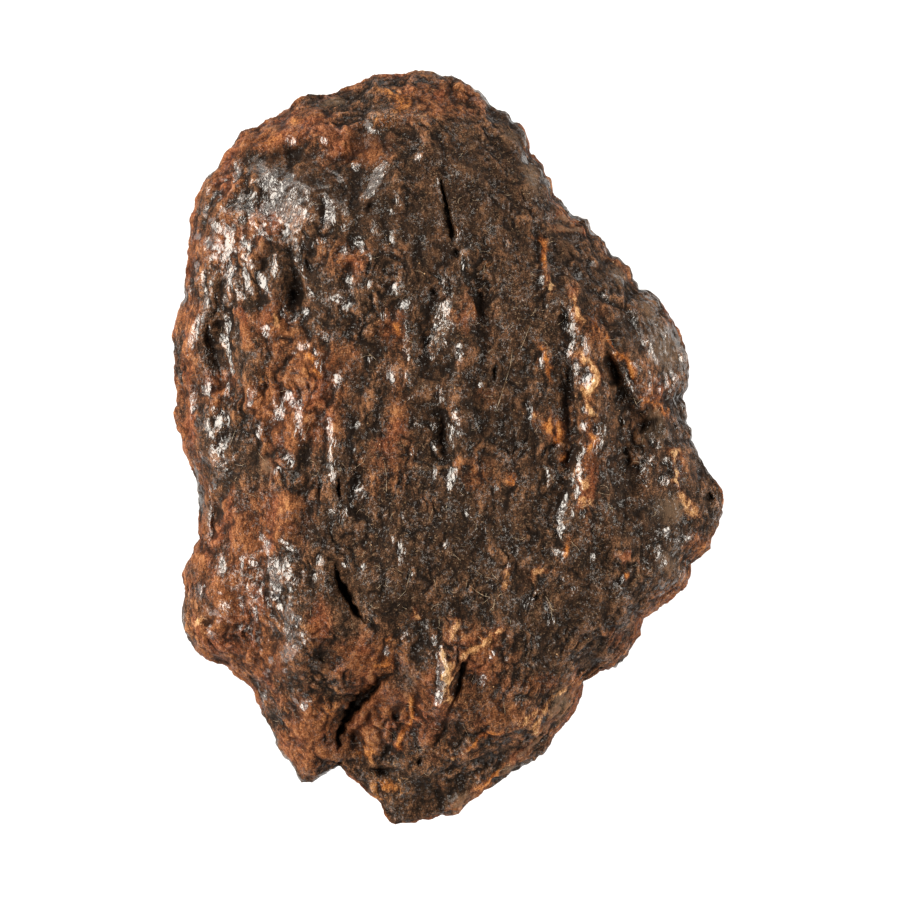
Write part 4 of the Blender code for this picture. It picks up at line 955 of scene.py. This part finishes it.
    def build(self) -> bpy.types.Object:
        """The dressed piece, which stands for the CAD solid.

        Returns:
            The new object.
        """
        mesh = self.divided()
        skin, layers = self.shaped(self.read(mesh))
        mesh.vertices.foreach_set("co", (skin.points * MM).astype(np.float32).ravel())
        for name, values in layers.items():
            layer = mesh.attributes.new(name, "FLOAT", "POINT")
            layer.data.foreach_set("value", values.astype(np.float32))
        mesh.update()
        if len(mesh.polygons) > self.triangles:
            mesh = self.thinned(mesh)
        mesh.shade_smooth()
        mesh.materials.clear()
        mesh.materials.append(CrustFinish().material())
        piece = bpy.data.objects.new("meteorite_crust", mesh)
        bpy.context.scene.collection.objects.link(piece)
        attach(piece, "root")
        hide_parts("meteorite")
        report.info("crust: %d triangles", len(mesh.polygons))
        return piece


class Value:
    """A shader socket that adds Math nodes of its own when it is reckoned with."""

    def __init__(self, bench: "Bench", socket: bpy.types.NodeSocket) -> None:
        """Wrap a socket of the bench's material."""
        self.bench = bench
        self.socket = socket

    def __add__(self, other: "Value | float") -> "Value":
        """Sum."""
        return self.bench.math("ADD", self, other)

    def __radd__(self, other: float) -> "Value":
        """Sum with a number in front."""
        return self.bench.math("ADD", other, self)

    def __sub__(self, other: "Value | float") -> "Value":
        """Difference."""
        return self.bench.math("SUBTRACT", self, other)

    def __rsub__(self, other: float) -> "Value":
        """Number less this value."""
        return self.bench.math("SUBTRACT", other, self)

    def __mul__(self, other: "Value | float") -> "Value":
        """Product."""
        return self.bench.math("MULTIPLY", self, other)

    def __rmul__(self, other: float) -> "Value":
        """Product with a number in front."""
        return self.bench.math("MULTIPLY", other, self)


Source = Value | bpy.types.NodeSocket | float | Sequence[float]
Colour = tuple[float, float, float, float]
Stops = tuple[tuple[float, Colour], ...]


class Bench:
    """Where one material's nodes are made and joined."""

    def __init__(self, name: str) -> None:
        """Start a material with its Principled shader.

        Args:
            name: the material's name.
        """
        self.material = bpy.data.materials.new(name)
        self.material.use_nodes = True
        self.tree = self.material.node_tree
        self.shader = self.tree.nodes["Principled BSDF"]

    def join(self, socket: bpy.types.NodeSocket, source: Source) -> None:
        """Give a socket a value or a link."""
        if isinstance(source, Value):
            self.tree.links.new(source.socket, socket)
        elif isinstance(source, bpy.types.NodeSocket):
            self.tree.links.new(source, socket)
        else:
            socket.default_value = source

    def node(
        self,
        kind: str,
        settings: dict[str, object] | None = None,
        sockets: dict[str | int, Source] | None = None,
    ) -> bpy.types.Node:
        """Make a node.

        Args:
            kind: the node's type.
            settings: its settings, which are set first; "stops" are a ramp's (place, colour).
            sockets: values or links of its inputs, by name or number.

        Returns:
            The node.
        """
        made = self.tree.nodes.new(kind)
        for name, setting in (settings or {}).items():
            if name == "stops":
                ramp = made.color_ramp
                while len(ramp.elements) < len(setting):
                    ramp.elements.new(1.0)
                for element, (place, colour) in zip(ramp.elements, setting):
                    element.position = place
                    element.color = colour
            else:
                setattr(made, name, setting)
        for name, source in (sockets or {}).items():
            self.join(made.inputs[name], source)
        return made

    def math(self, operation: str, first: Source, second: Source = 0.0) -> Value:
        """A Math node's result."""
        made = self.node("ShaderNodeMath", {"operation": operation}, {0: first, 1: second})
        return Value(self, made.outputs[0])

    def mask(self, name: str) -> Value:
        """A mask stored on the surface."""
        made = self.node("ShaderNodeAttribute", {"attribute_name": name})
        return Value(self, made.outputs["Fac"])

    def step(self, low: float, high: float, value: Value) -> Value:
        """An even curve from 0 at low to 1 at high."""
        made = self.node(
            "ShaderNodeMapRange",
            {"interpolation_type": "SMOOTHSTEP"},
            {"Value": value, "From Min": low, "From Max": high},
        )
        return Value(self, made.outputs[0])

    def mix(self, amount: Source, first: Source, second: Source) -> Value:
        """A colour between two colours."""
        made = self.node(
            "ShaderNodeMix", {"data_type": "RGBA"}, {0: amount, 6: first, 7: second}
        )
        return Value(self, made.outputs[2])

    def ramp(self, amount: Value, stops: Stops) -> Value:
        """A colour that runs through the stops."""
        made = self.node("ShaderNodeValToRGB", {"stops": stops}, {0: amount})
        return Value(self, made.outputs["Color"])

    def ruled(self, stretch: Sequence[float] = (1.0, 1.0, 1.0)) -> Value:
        """Places on the object in millimetres, divided by the stretch of each axis."""
        place = self.node("ShaderNodeTexCoord").outputs["Object"]
        scale = [1.0 / MM / part for part in stretch]
        made = self.node("ShaderNodeVectorMath", {"operation": "MULTIPLY"}, {0: place, 1: scale})
        return Value(self, made.outputs[0])

    def noise(self, place: Value, size: float, detail: float = 2.0, bend: float = 0.0) -> Value:
        """Noise from 0 to 1 with swells of a size in millimetres."""
        made = self.node(
            "ShaderNodeTexNoise",
            {"noise_dimensions": "3D"},
            {"Vector": place, "Scale": 1.0 / size, "Detail": detail, "Distortion": bend},
        )
        return Value(self, made.outputs["Fac"])

    def bump(self, height: Value, distance: float, under: Value | None = None) -> Value:
        """A bumped normal, laid over another where one is given."""
        sockets: dict[str | int, Source] = {"Height": height, "Distance": distance, "Strength": 1.0}
        if under is not None:
            sockets["Normal"] = under
        return Value(self, self.node("ShaderNodeBump", {}, sockets).outputs["Normal"])


def shade(red: int, green: int, blue: int) -> Colour:
    """A colour from its screen values, 0 to 255."""
    linear = []
    for part in (red / 255.0, green / 255.0, blue / 255.0):
        linear.append(part / 12.92 if part < 0.04045 else ((part + 0.055) / 1.055) ** 2.4)
    return (*linear, 1.0)


@dataclass(frozen=True)
class CrustFinish:
    """Weathered iron crust: dark, rust-brown and orange tones, half glossy, finely pitted.

    Attributes:
        dark, rusty, ruddy, orange, ochre: tones from a zone's hollows to its crests.
        char, rusty_hollow_shade, cream, grey, dust, soot: single tones; the dark tone also paints
        shade in cracks, rusty_hollow_shade and soot paint shade in hollows, and grey is partly a
        painted reflection.
        dull_roughness: of the dry crust.
        dull_level: specular level of the dry crust.
        film_roughness: of the glossy film.
        film_level: specular level of the glossy film.
        ior: of both.
    """

    dark: Stops = (
        (0.48, shade(17, 11, 8)),
        (0.57, shade(31, 21, 14)),
        (0.65, shade(48, 33, 23)),
        (0.74, shade(72, 50, 35)),
        (0.84, shade(112, 82, 60)),
    )
    rusty: Stops = (
        (0.48, shade(48, 24, 13)),
        (0.57, shade(70, 38, 21)),
        (0.65, shade(94, 54, 30)),
        (0.74, shade(118, 72, 43)),
        (0.84, shade(150, 104, 68)),
    )
    ruddy: Stops = (
        (0.48, shade(44, 19, 12)),
        (0.57, shade(68, 31, 19)),
        (0.65, shade(92, 45, 28)),
        (0.74, shade(115, 62, 41)),
        (0.84, shade(146, 93, 66)),
    )
    orange: Stops = (
        (0.48, shade(88, 42, 14)),
        (0.57, shade(120, 63, 22)),
        (0.65, shade(148, 85, 33)),
        (0.74, shade(172, 109, 51)),
        (0.84, shade(196, 141, 82)),
    )
    ochre: Stops = (
        (0.48, shade(84, 54, 30)),
        (0.57, shade(114, 78, 46)),
        (0.65, shade(144, 104, 65)),
        (0.74, shade(172, 130, 88)),
        (0.84, shade(202, 168, 126)),
    )
    # Dark crust, also painted shade in cracks and gaps
    char: Colour = shade(31, 22, 16)
    # Painted shade in the hollows of rusty zones
    rusty_hollow_shade: Colour = shade(46, 23, 12)
    cream: Colour = shade(196, 162, 118)
    # Grey-brown, partly a painted reflection
    grey: Colour = shade(92, 74, 58)
    dust: Colour = shade(140, 116, 92)
    # Near-black of random flecks and of the painted shade in hollows
    soot_and_hollow_shade: Colour = shade(22, 15, 11)
    dull_roughness: float = 0.6
    dull_level: float = 0.05
    film_roughness: float = 0.2
    film_level: float = 0.95
    ior: float = 1.5

    def colour(self, bench: Bench) -> Value:
        """Base colour from the masks, broken up by noise, with painted shade in hollows."""
        streaked = bench.ruled((1.0, 1.9, 1.3))
        place = bench.ruled()
        broad = bench.noise(streaked, 1.4, 5.0, 0.8)
        small = bench.noise(streaked, 0.4, 5.0, 0.6)
        grain = bench.noise(place, 0.13, 3.0)
        stand = bench.mask("stand")
        swell = bench.mask("swell") - 0.5
        upset = (small - 0.5) * 1.0 + (grain - 0.5) * 0.6
        drift = (broad - 0.5) * 0.8 + swell * 0.4
        # Lump height and standing-out make raised points lighter and low ones darker: painted shade
        texture = broad * 0.25 + small * 0.6 + grain * 0.6 + swell * 0.12 + stand * 0.04 - 0.075
        dark = bench.ramp(texture, self.dark)
        hue = bench.step(0.46, 0.62, bench.noise(bench.ruled((1.0, 1.6, 1.0)), 2.6, 3.0, 0.6))
        rusty = bench.ramp(texture, self.rusty)
        rusty = bench.mix(hue * 0.55, rusty, bench.ramp(texture, self.ruddy))
        sunk = bench.mask("rust") * 0.95 - bench.mask("grit") * 0.12
        rust = bench.step(0.0, 0.75, sunk + upset * 0.6 + drift * 0.9)
        colour = bench.mix(rust * 0.95, dark, rusty)
        # Grey-brown, partly a painted reflection on rims and bright facets
        grey = bench.step(0.3, 0.8, bench.mask("grey") + upset * 0.7)
        colour = bench.mix(grey * 0.7, colour, self.grey)
        # Dark crust, including the painted shade in cracks and gaps
        char = bench.step(0.2, 0.9, bench.mask("char") * 0.95 + upset - drift * 0.7)
        colour = bench.mix(char * 0.6, colour, self.char)
        orange = bench.step(0.3, 1.0, bench.mask("orange") + upset * 0.8 + drift * 0.5)
        colour = bench.mix(orange * 0.75, colour, bench.ramp(texture, self.orange))
        ochre = bench.step(0.35, 1.0, bench.mask("ochre") + upset * 1.4)
        colour = bench.mix(ochre * 0.9, colour, bench.ramp(texture, self.ochre))
        cream = bench.step(0.4, 1.05, bench.mask("cream") + upset * 1.6)
        colour = bench.mix(cream * 0.8, colour, self.cream)
        # Random dark flecks, in the near-black that also paints shade in hollows
        fleck = bench.noise(bench.ruled((1.0, 1.4, 1.0)), 0.24, 4.0, 0.7)
        colour = bench.mix(bench.step(0.44, 0.28, fleck) * (0.7 - rust * 0.4), colour, self.soot_and_hollow_shade)
        speck = bench.noise(bench.ruled((1.3, 1.0, 1.0)), 0.15, 1.0, 0.8)
        sown = bench.noise(place, 0.9, 2.0)
        dusty = bench.step(0.6, 0.76, speck + (sown - 0.5) * 0.3) * (0.3 + bench.mask("grit") * 0.4)
        colour = bench.mix(dusty, colour, self.dust)
        # Painted shade: hollows turn near-black, or deep rust-brown in rusty zones
        hollow = bench.step(0.1, 0.9, upset * 0.4 - stand) * (0.85 - rust * 0.15)
        return bench.mix(hollow, colour, bench.mix(rust, self.soot_and_hollow_shade, self.rusty_hollow_shade))

    def material(self) -> bpy.types.Material:
        """The crust's material.

        Returns:
            The new material.
        """
        bench = Bench("iron_crust")
        place = bench.ruled()
        gloss = bench.mask("gloss")
        grit = bench.mask("grit")
        patchy = bench.noise(place, 0.8, 4.0, 0.4)
        sown = bench.noise(place, 1.7, 2.0)
        glint = bench.noise(place, 0.3, 2.0, 0.4) + (sown - 0.5) * 0.7
        glint = bench.step(0.57, 0.63, glint) * (0.5 - bench.mask("rust") * 0.28)
        film = bench.step(0.34, 0.56, gloss + (patchy - 0.5) * 1.3 - grit * 0.1)
        film = bench.math("MAXIMUM", film, glint)
        grain = bench.noise(place, 0.17, 2.0, 0.2)
        lumps = bench.noise(bench.ruled((1.0, 1.6, 1.2)), 0.4, 3.0, 0.5)
        fold = bench.noise(bench.ruled((1.0, 2.2, 1.3)), 0.75, 2.0, 1.2) - 0.5
        crease = bench.step(0.0, 0.06, bench.math("ABSOLUTE", fold))
        coarse = bench.bump(lumps + crease * 0.4, 0.0001)
        smooth = bench.noise(bench.ruled((1.0, 1.6, 1.2)), 0.6, 1.0, 0.8)
        brisk = bench.bump(smooth + crease * 0.2, 0.00012)
        worn = bench.bump(grain * (0.5 + grit * 1.2), 0.00007, coarse)
        dry = bench.step(0.4, 0.12, gloss)
        wet = bench.bump(grain * (0.02 + dry * 1.6), 0.00008, brisk)
        colour = self.colour(bench)
        skin = bench.node("ShaderNodeBsdfPrincipled")
        for shader, roughness, level, facing in (
            (bench.shader, self.dull_roughness, self.dull_level, worn),
            (skin, self.film_roughness, self.film_level, wet),
        ):
            shader.inputs["Roughness"].default_value = roughness
            shader.inputs["Specular IOR Level"].default_value = level
            shader.inputs["IOR"].default_value = self.ior
            bench.join(shader.inputs["Base Color"], colour)
            bench.join(shader.inputs["Normal"], facing)
        mixed = bench.node(
            "ShaderNodeMixShader",
            {},
            {0: film, 1: bench.shader.outputs[0], 2: skin.outputs[0]},
        )
        bench.join(bench.tree.nodes["Material Output"].inputs["Surface"], mixed.outputs[0])
        return bench.material


@dataclass(frozen=True)
class FibreFinish:
    """Pale household lint and dust."""

    name: str
    colour: Colour
    deep: Colour

    def material(self) -> bpy.types.Material:
        """The fibre's material, a little uneven along its length."""
        bench = Bench(self.name)
        tone = bench.step(0.35, 0.65, bench.noise(bench.ruled(), 0.9, 1.0))
        bench.join(bench.shader.inputs["Base Color"], bench.mix(tone, self.deep, self.colour))
        bench.shader.inputs["Roughness"].default_value = 0.6
        return bench.material


@dataclass
class Ground:
    """The finished stone's surface, to lay small things on."""

    stone: bpy.types.Object

    def __post_init__(self) -> None:
        """Index the stone's faces."""
        self.tree = BVHTree.FromObject(self.stone, bpy.context.evaluated_depsgraph_get())

    def under(self, x: float, y: float) -> tuple[Vector, Vector] | None:
        """Point and normal of the surface below a place in metres, or None beyond the edge."""
        hit = self.tree.ray_cast(Vector((x, y, 0.1)), Vector((0.0, 0.0, -1.0)))
        return None if hit[0] is None else (hit[0], hit[1])


@dataclass
class Lint:
    """Fine fibres that lie on the face.

    Attributes:
        ground: what they lie on.
        count: how many short curly ones.
        radius: half of a fibre's thickness, in metres.
        step: length of one piece of a fibre, in metres.
        seed: settles how the curly ones are strewn.
        cobweb: places round which some of the curly ones gather.
        gathered: share of the curly ones that gather there.
        hairs: places along each of the longer ones.
    """

    ground: Ground
    count: int = 260
    radius: float = 0.000013
    step: float = 0.00012
    seed: int = 21
    cobweb: tuple[Place, ...] = (
        (47.5, 58.2), (46.4, 59.4), (49.0, 59.8), (46.0, 58.0), (40.8, 59.0),
    )
    gathered: float = 0.1
    hairs: tuple[tuple[Place, ...], ...] = (
        ((51.2, 34.9), (51.0, 36.6), (50.5, 38.2), (49.9, 40.2), (49.5, 41.2)),
        ((53.0, 32.5), (52.5, 33.8), (52.0, 35.0)),
        ((41.2, 56.6), (40.9, 57.8), (40.6, 59.0), (39.8, 59.8)),
        ((53.3, 71.2), (53.5, 70.0), (53.3, 69.4), (54.0, 69.1), (54.9, 69.0)),
        ((38.1, 72.5), (38.7, 72.9), (39.3, 73.3), (39.6, 73.8)),
        ((46.3, 72.4), (46.8, 73.4), (46.9, 74.0)),
        ((22.1, 33.5), (22.8, 35.0), (23.2, 36.4), (23.5, 37.6)),
        ((24.0, 41.8), (23.6, 43.2), (23.1, 44.6)),
        ((38.5, 46.2), (38.7, 47.6), (38.7, 49.2)),
        ((36.9, 44.8), (36.4, 46.2), (35.0, 47.2), (34.2, 46.2)),
        ((46.9, 58.4), (47.6, 59.0), (48.4, 59.5), (49.5, 59.7)),
        ((60.9, 30.4), (61.4, 31.6), (61.8, 33.0), (62.4, 33.8)),
        ((41.4, 10.2), (41.9, 11.0), (42.8, 12.0)),
        ((29.0, 12.0), (29.4, 12.6)),
        ((54.5, 59.5), (55.1, 60.6), (55.1, 61.6), (54.7, 62.2)),
    )

    def resting(self, path: list[tuple[float, float]]) -> list[Vector] | None:
        """The path laid on the ground, or None if part of it is off the edge or on a steep wall."""
        laid = []
        for x, y in path:
            found = self.ground.under(x, y)
            if found is None or found[1].z < 0.35:
                return None
            laid.append(found[0] + Vector((0.0, 0.0, self.radius * 1.2)))
        heights = [point.z for point in laid]
        for index in range(1, len(laid) - 1):
            bridge = (heights[index - 1] + heights[index + 1]) / 2.0
            laid[index].z = max(heights[index], bridge)
        return laid

    def curl(self, chance: np.random.Generator) -> list[tuple[float, float]]:
        """A short curly path in plan, in metres."""
        if chance.uniform() < self.gathered:
            place = self.cobweb[chance.integers(len(self.cobweb))]
            place = (place[0] + chance.normal(0.0, 3.0), place[1] + chance.normal(0.0, 1.5))
        else:
            place = (chance.uniform(19.0, 70.0), chance.uniform(9.0, 80.0))
        x, y = on_face(place) * MM
        heading = chance.uniform(0.0, 2.0 * math.pi)
        turn = chance.normal(0.0, 0.16)
        path = [(x, y)]
        for _ in range(int(chance.integers(3, 12))):
            heading += turn + chance.normal(0.0, 0.12)
            x += math.cos(heading) * self.step
            y += math.sin(heading) * self.step
            path.append((x, y))
        return path

    def long_path(self, places: tuple[Place, ...]) -> list[tuple[float, float]]:
        """A hair's path in plan through its places, in metres."""
        line = np.array([on_face(place) for place in places]) * MM
        run = np.concatenate(([0.0], np.cumsum(np.hypot(*np.diff(line, axis=0).T))))
        steps = np.linspace(0.0, run[-1], max(4, int(run[-1] / self.step)))
        return list(zip(np.interp(steps, run, line[:, 0]), np.interp(steps, run, line[:, 1])))

    def tube(self, form: bmesh.types.BMesh, path: list[Vector]) -> None:
        """Add a closed three-sided tube along the path."""
        rings = []
        for index, point in enumerate(path):
            along = (path[min(index + 1, len(path) - 1)] - path[max(index - 1, 0)]).normalized()
            side = along.cross(Vector((0.0, 0.0, 1.0))).normalized()
            rise = side.cross(along)
            taper = 0.45 if index in (0, len(path) - 1) else 1.0
            ring = []
            for corner in range(3):
                angle = corner * math.tau / 3.0 + math.pi / 2.0
                offset = side * math.cos(angle) + rise * math.sin(angle)
                ring.append(form.verts.new(point + offset * self.radius * taper))
            rings.append(ring)
        for near, far in zip(rings, rings[1:]):
            for corner in range(3):
                after = (corner + 1) % 3
                form.faces.new((near[corner], near[after], far[after], far[corner]))
        form.faces.new(rings[0][::-1])
        form.faces.new(rings[-1])

    def build(self) -> bpy.types.Object:
        """All the fibres as one piece.

        Returns:
            The new object.
        """
        chance = np.random.default_rng(self.seed)
        paths = [self.long_path(places) for places in self.hairs]
        paths += [self.curl(chance) for _ in range(self.count)]
        form = bmesh.new()
        for path in paths:
            laid = self.resting(path)
            if laid is not None:
                self.tube(form, laid)
        bmesh.ops.recalc_face_normals(form, faces=form.faces[:])
        mesh = bpy.data.meshes.new("lint")
        form.to_mesh(mesh)
        form.free()
        mesh.shade_smooth()
        mesh.materials.append(
            FibreFinish("pale_lint", shade(200, 180, 150), shade(120, 98, 74)).material()
        )
        piece = bpy.data.objects.new("lint", mesh)
        bpy.context.scene.collection.objects.link(piece)
        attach(piece, "root")
        report.info("lint: %d faces", len(mesh.polygons))
        return piece


@dataclass
class Grit:
    """Tiny grains of dust and scale that cling to the face.

    Attributes:
        ground: what they lie on.
        count: how many grains are tried.
        size: smallest and largest half-width, in metres.
        seed: settles how they are strewn.
    """

    ground: Ground
    count: int = 620
    size: tuple[float, float] = (0.000025, 0.00007)
    seed: int = 33

    def build(self) -> bpy.types.Object:
        """All the grains as one piece.

        Returns:
            The new object.
        """
        chance = np.random.default_rng(self.seed)
        form = bmesh.new()
        for _ in range(self.count):
            place = on_face((chance.uniform(18.0, 72.0), chance.uniform(7.5, 82.0))) * MM
            radius = self.size[0] + (self.size[1] - self.size[0]) * chance.uniform() ** 3
            turns = chance.uniform(0.6, 1.4, 3)
            found = self.ground.under(*place)
            if found is None or found[1].z < 0.3:
                continue
            made = bmesh.ops.create_icosphere(form, subdivisions=1, radius=radius)
            bmesh.ops.scale(form, vec=turns, verts=made["verts"])
            middle = found[0] + Vector((0.0, 0.0, radius * 0.4))
            bmesh.ops.translate(form, vec=middle, verts=made["verts"])
        mesh = bpy.data.meshes.new("grit")
        form.to_mesh(mesh)
        form.free()
        mesh.shade_smooth()
        mesh.materials.append(
            FibreFinish("pale_grit", shade(190, 150, 104), shade(96, 70, 46)).material()
        )
        piece = bpy.data.objects.new("grit", mesh)
        bpy.context.scene.collection.objects.link(piece)
        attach(piece, "root")
        report.info("grit: %d faces", len(mesh.polygons))
        return piece


@dataclass(frozen=True)
class SoftBox:
    """A square studio light that faces the specimen.

    Attributes:
        name: what it is called.
        place: where its middle hangs, in metres.
        side: of the square, in metres.
        power: in watts.
        colour: of its light, a little warm.
    """

    name: str
    place: tuple[float, float, float]
    side: float
    power: float
    colour: tuple[float, float, float] = (1.0, 0.935, 0.84)

    def build(self, aim: Vector) -> bpy.types.Object:
        """Hang the light and turn it to the aim."""
        lamp = bpy.data.lights.new(self.name, "AREA")
        lamp.shape = "SQUARE"
        lamp.size = self.side
        lamp.energy = self.power
        lamp.color = self.colour
        light = bpy.data.objects.new(self.name, lamp)
        light.location = self.place
        light.rotation_euler = (aim - light.location).to_track_quat("-Z", "Y").to_euler()
        bpy.context.scene.collection.objects.link(light)
        return light


@dataclass
class Studio:
    """The pale table, the soft lights and the camera straight above.

    Attributes:
        distance: from the table to the lens, in metres.
        field: width that the picture spans at the stone's edge, in metres.
        edge_level: height of the stone's edge over the table, in metres.
        sensor: width of the camera's sensor, in millimetres.
        middle: place on the face under the camera.
        aim: point that the lights face, in metres.
        table_side: half the table's side, in metres.
        table_grey: how much light the table sends back.
        table_glow: strength of its own light, which keeps it white round the stone.
        air: colour of the light from all round.
        air_light: strength of that light.
        boxes: the lights.
    """

    distance: float = 1.5
    field: float = 0.0899
    edge_level: float = 0.0115
    sensor: float = 36.0
    middle: Place = (44.95, 45.0)
    aim: tuple[float, float, float] = (0.0, 0.0, 0.012)
    table_side: float = 1.4
    table_grey: float = 0.25
    table_glow: float = 0.9
    air: Colour = (1.0, 0.95, 0.88, 1.0)
    air_light: float = 0.12
    boxes: tuple[SoftBox, ...] = (
        SoftBox("left_box", (-0.57, 0.08, 0.33), 0.48, 8.8),
        SoftBox("high_box", (-0.42, 0.54, 0.22), 0.24, 2.6),
        SoftBox("low_box", (-0.42, -0.50, 0.25), 0.24, 2.6),
        SoftBox("right_box", (0.60, -0.02, 0.29), 0.46, 8.2),
        SoftBox("top_box", (0.02, 0.62, 0.30), 0.30, 1.4),
    )

    def table(self) -> bpy.types.Object:
        """The plain pale floor.

        Returns:
            The new object.
        """
        form = bmesh.new()
        bmesh.ops.create_grid(form, x_segments=8, y_segments=8, size=self.table_side)
        mesh = bpy.data.meshes.new("table")
        form.to_mesh(mesh)
        form.free()
        bench = Bench("pale_table")
        for socket, setting in (
            ("Base Color", (self.table_grey, self.table_grey, self.table_grey, 1.0)),
            ("Roughness", 0.9),
            ("Emission Color", (1.0, 1.0, 1.0, 1.0)),
            ("Emission Strength", self.table_glow),
        ):
            bench.shader.inputs[socket].default_value = setting
        mesh.materials.append(bench.material)
        table = bpy.data.objects.new("table", mesh)
        bpy.context.scene.collection.objects.link(table)
        return table

    def camera(self) -> bpy.types.Object:
        """The camera, level over the specimen.

        Returns:
            The new object.
        """
        lens = bpy.data.cameras.new("camera")
        lens.sensor_width = self.sensor
        lens.sensor_fit = "HORIZONTAL"
        lens.lens = self.sensor * (self.distance - self.edge_level) / self.field
        lens.clip_start = 0.05
        lens.clip_end = 10.0
        camera = bpy.data.objects.new("camera", lens)
        x, y = on_face(self.middle) * MM
        camera.location = (x, y, self.distance)
        bpy.context.scene.collection.objects.link(camera)
        bpy.context.scene.camera = camera
        return camera

    def build(self) -> None:
        """Set up the table, world, lights and camera."""
        self.table()
        world = bpy.data.worlds.new("studio")
        world.use_nodes = True
        air = world.node_tree.nodes["Background"]
        air.inputs["Color"].default_value = self.air
        air.inputs["Strength"].default_value = self.air_light
        bpy.context.scene.world = world
        for box in self.boxes:
            box.build(Vector(self.aim))
        self.camera()
        bpy.context.scene.view_settings.view_transform = "Standard"
        report.info("studio: %d lights", len(self.boxes))


def main() -> None:
    """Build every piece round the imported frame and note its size."""
    logging.basicConfig(level=logging.INFO, format="%(name)s: %(message)s")
    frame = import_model()
    Studio().build()
    stone = Meteorite(frame["nodes"]["meteorite"]).build()
    ground = Ground(stone)
    Lint(ground).build()
    Grit(ground).build()


if __name__ == "__main__":
    main()
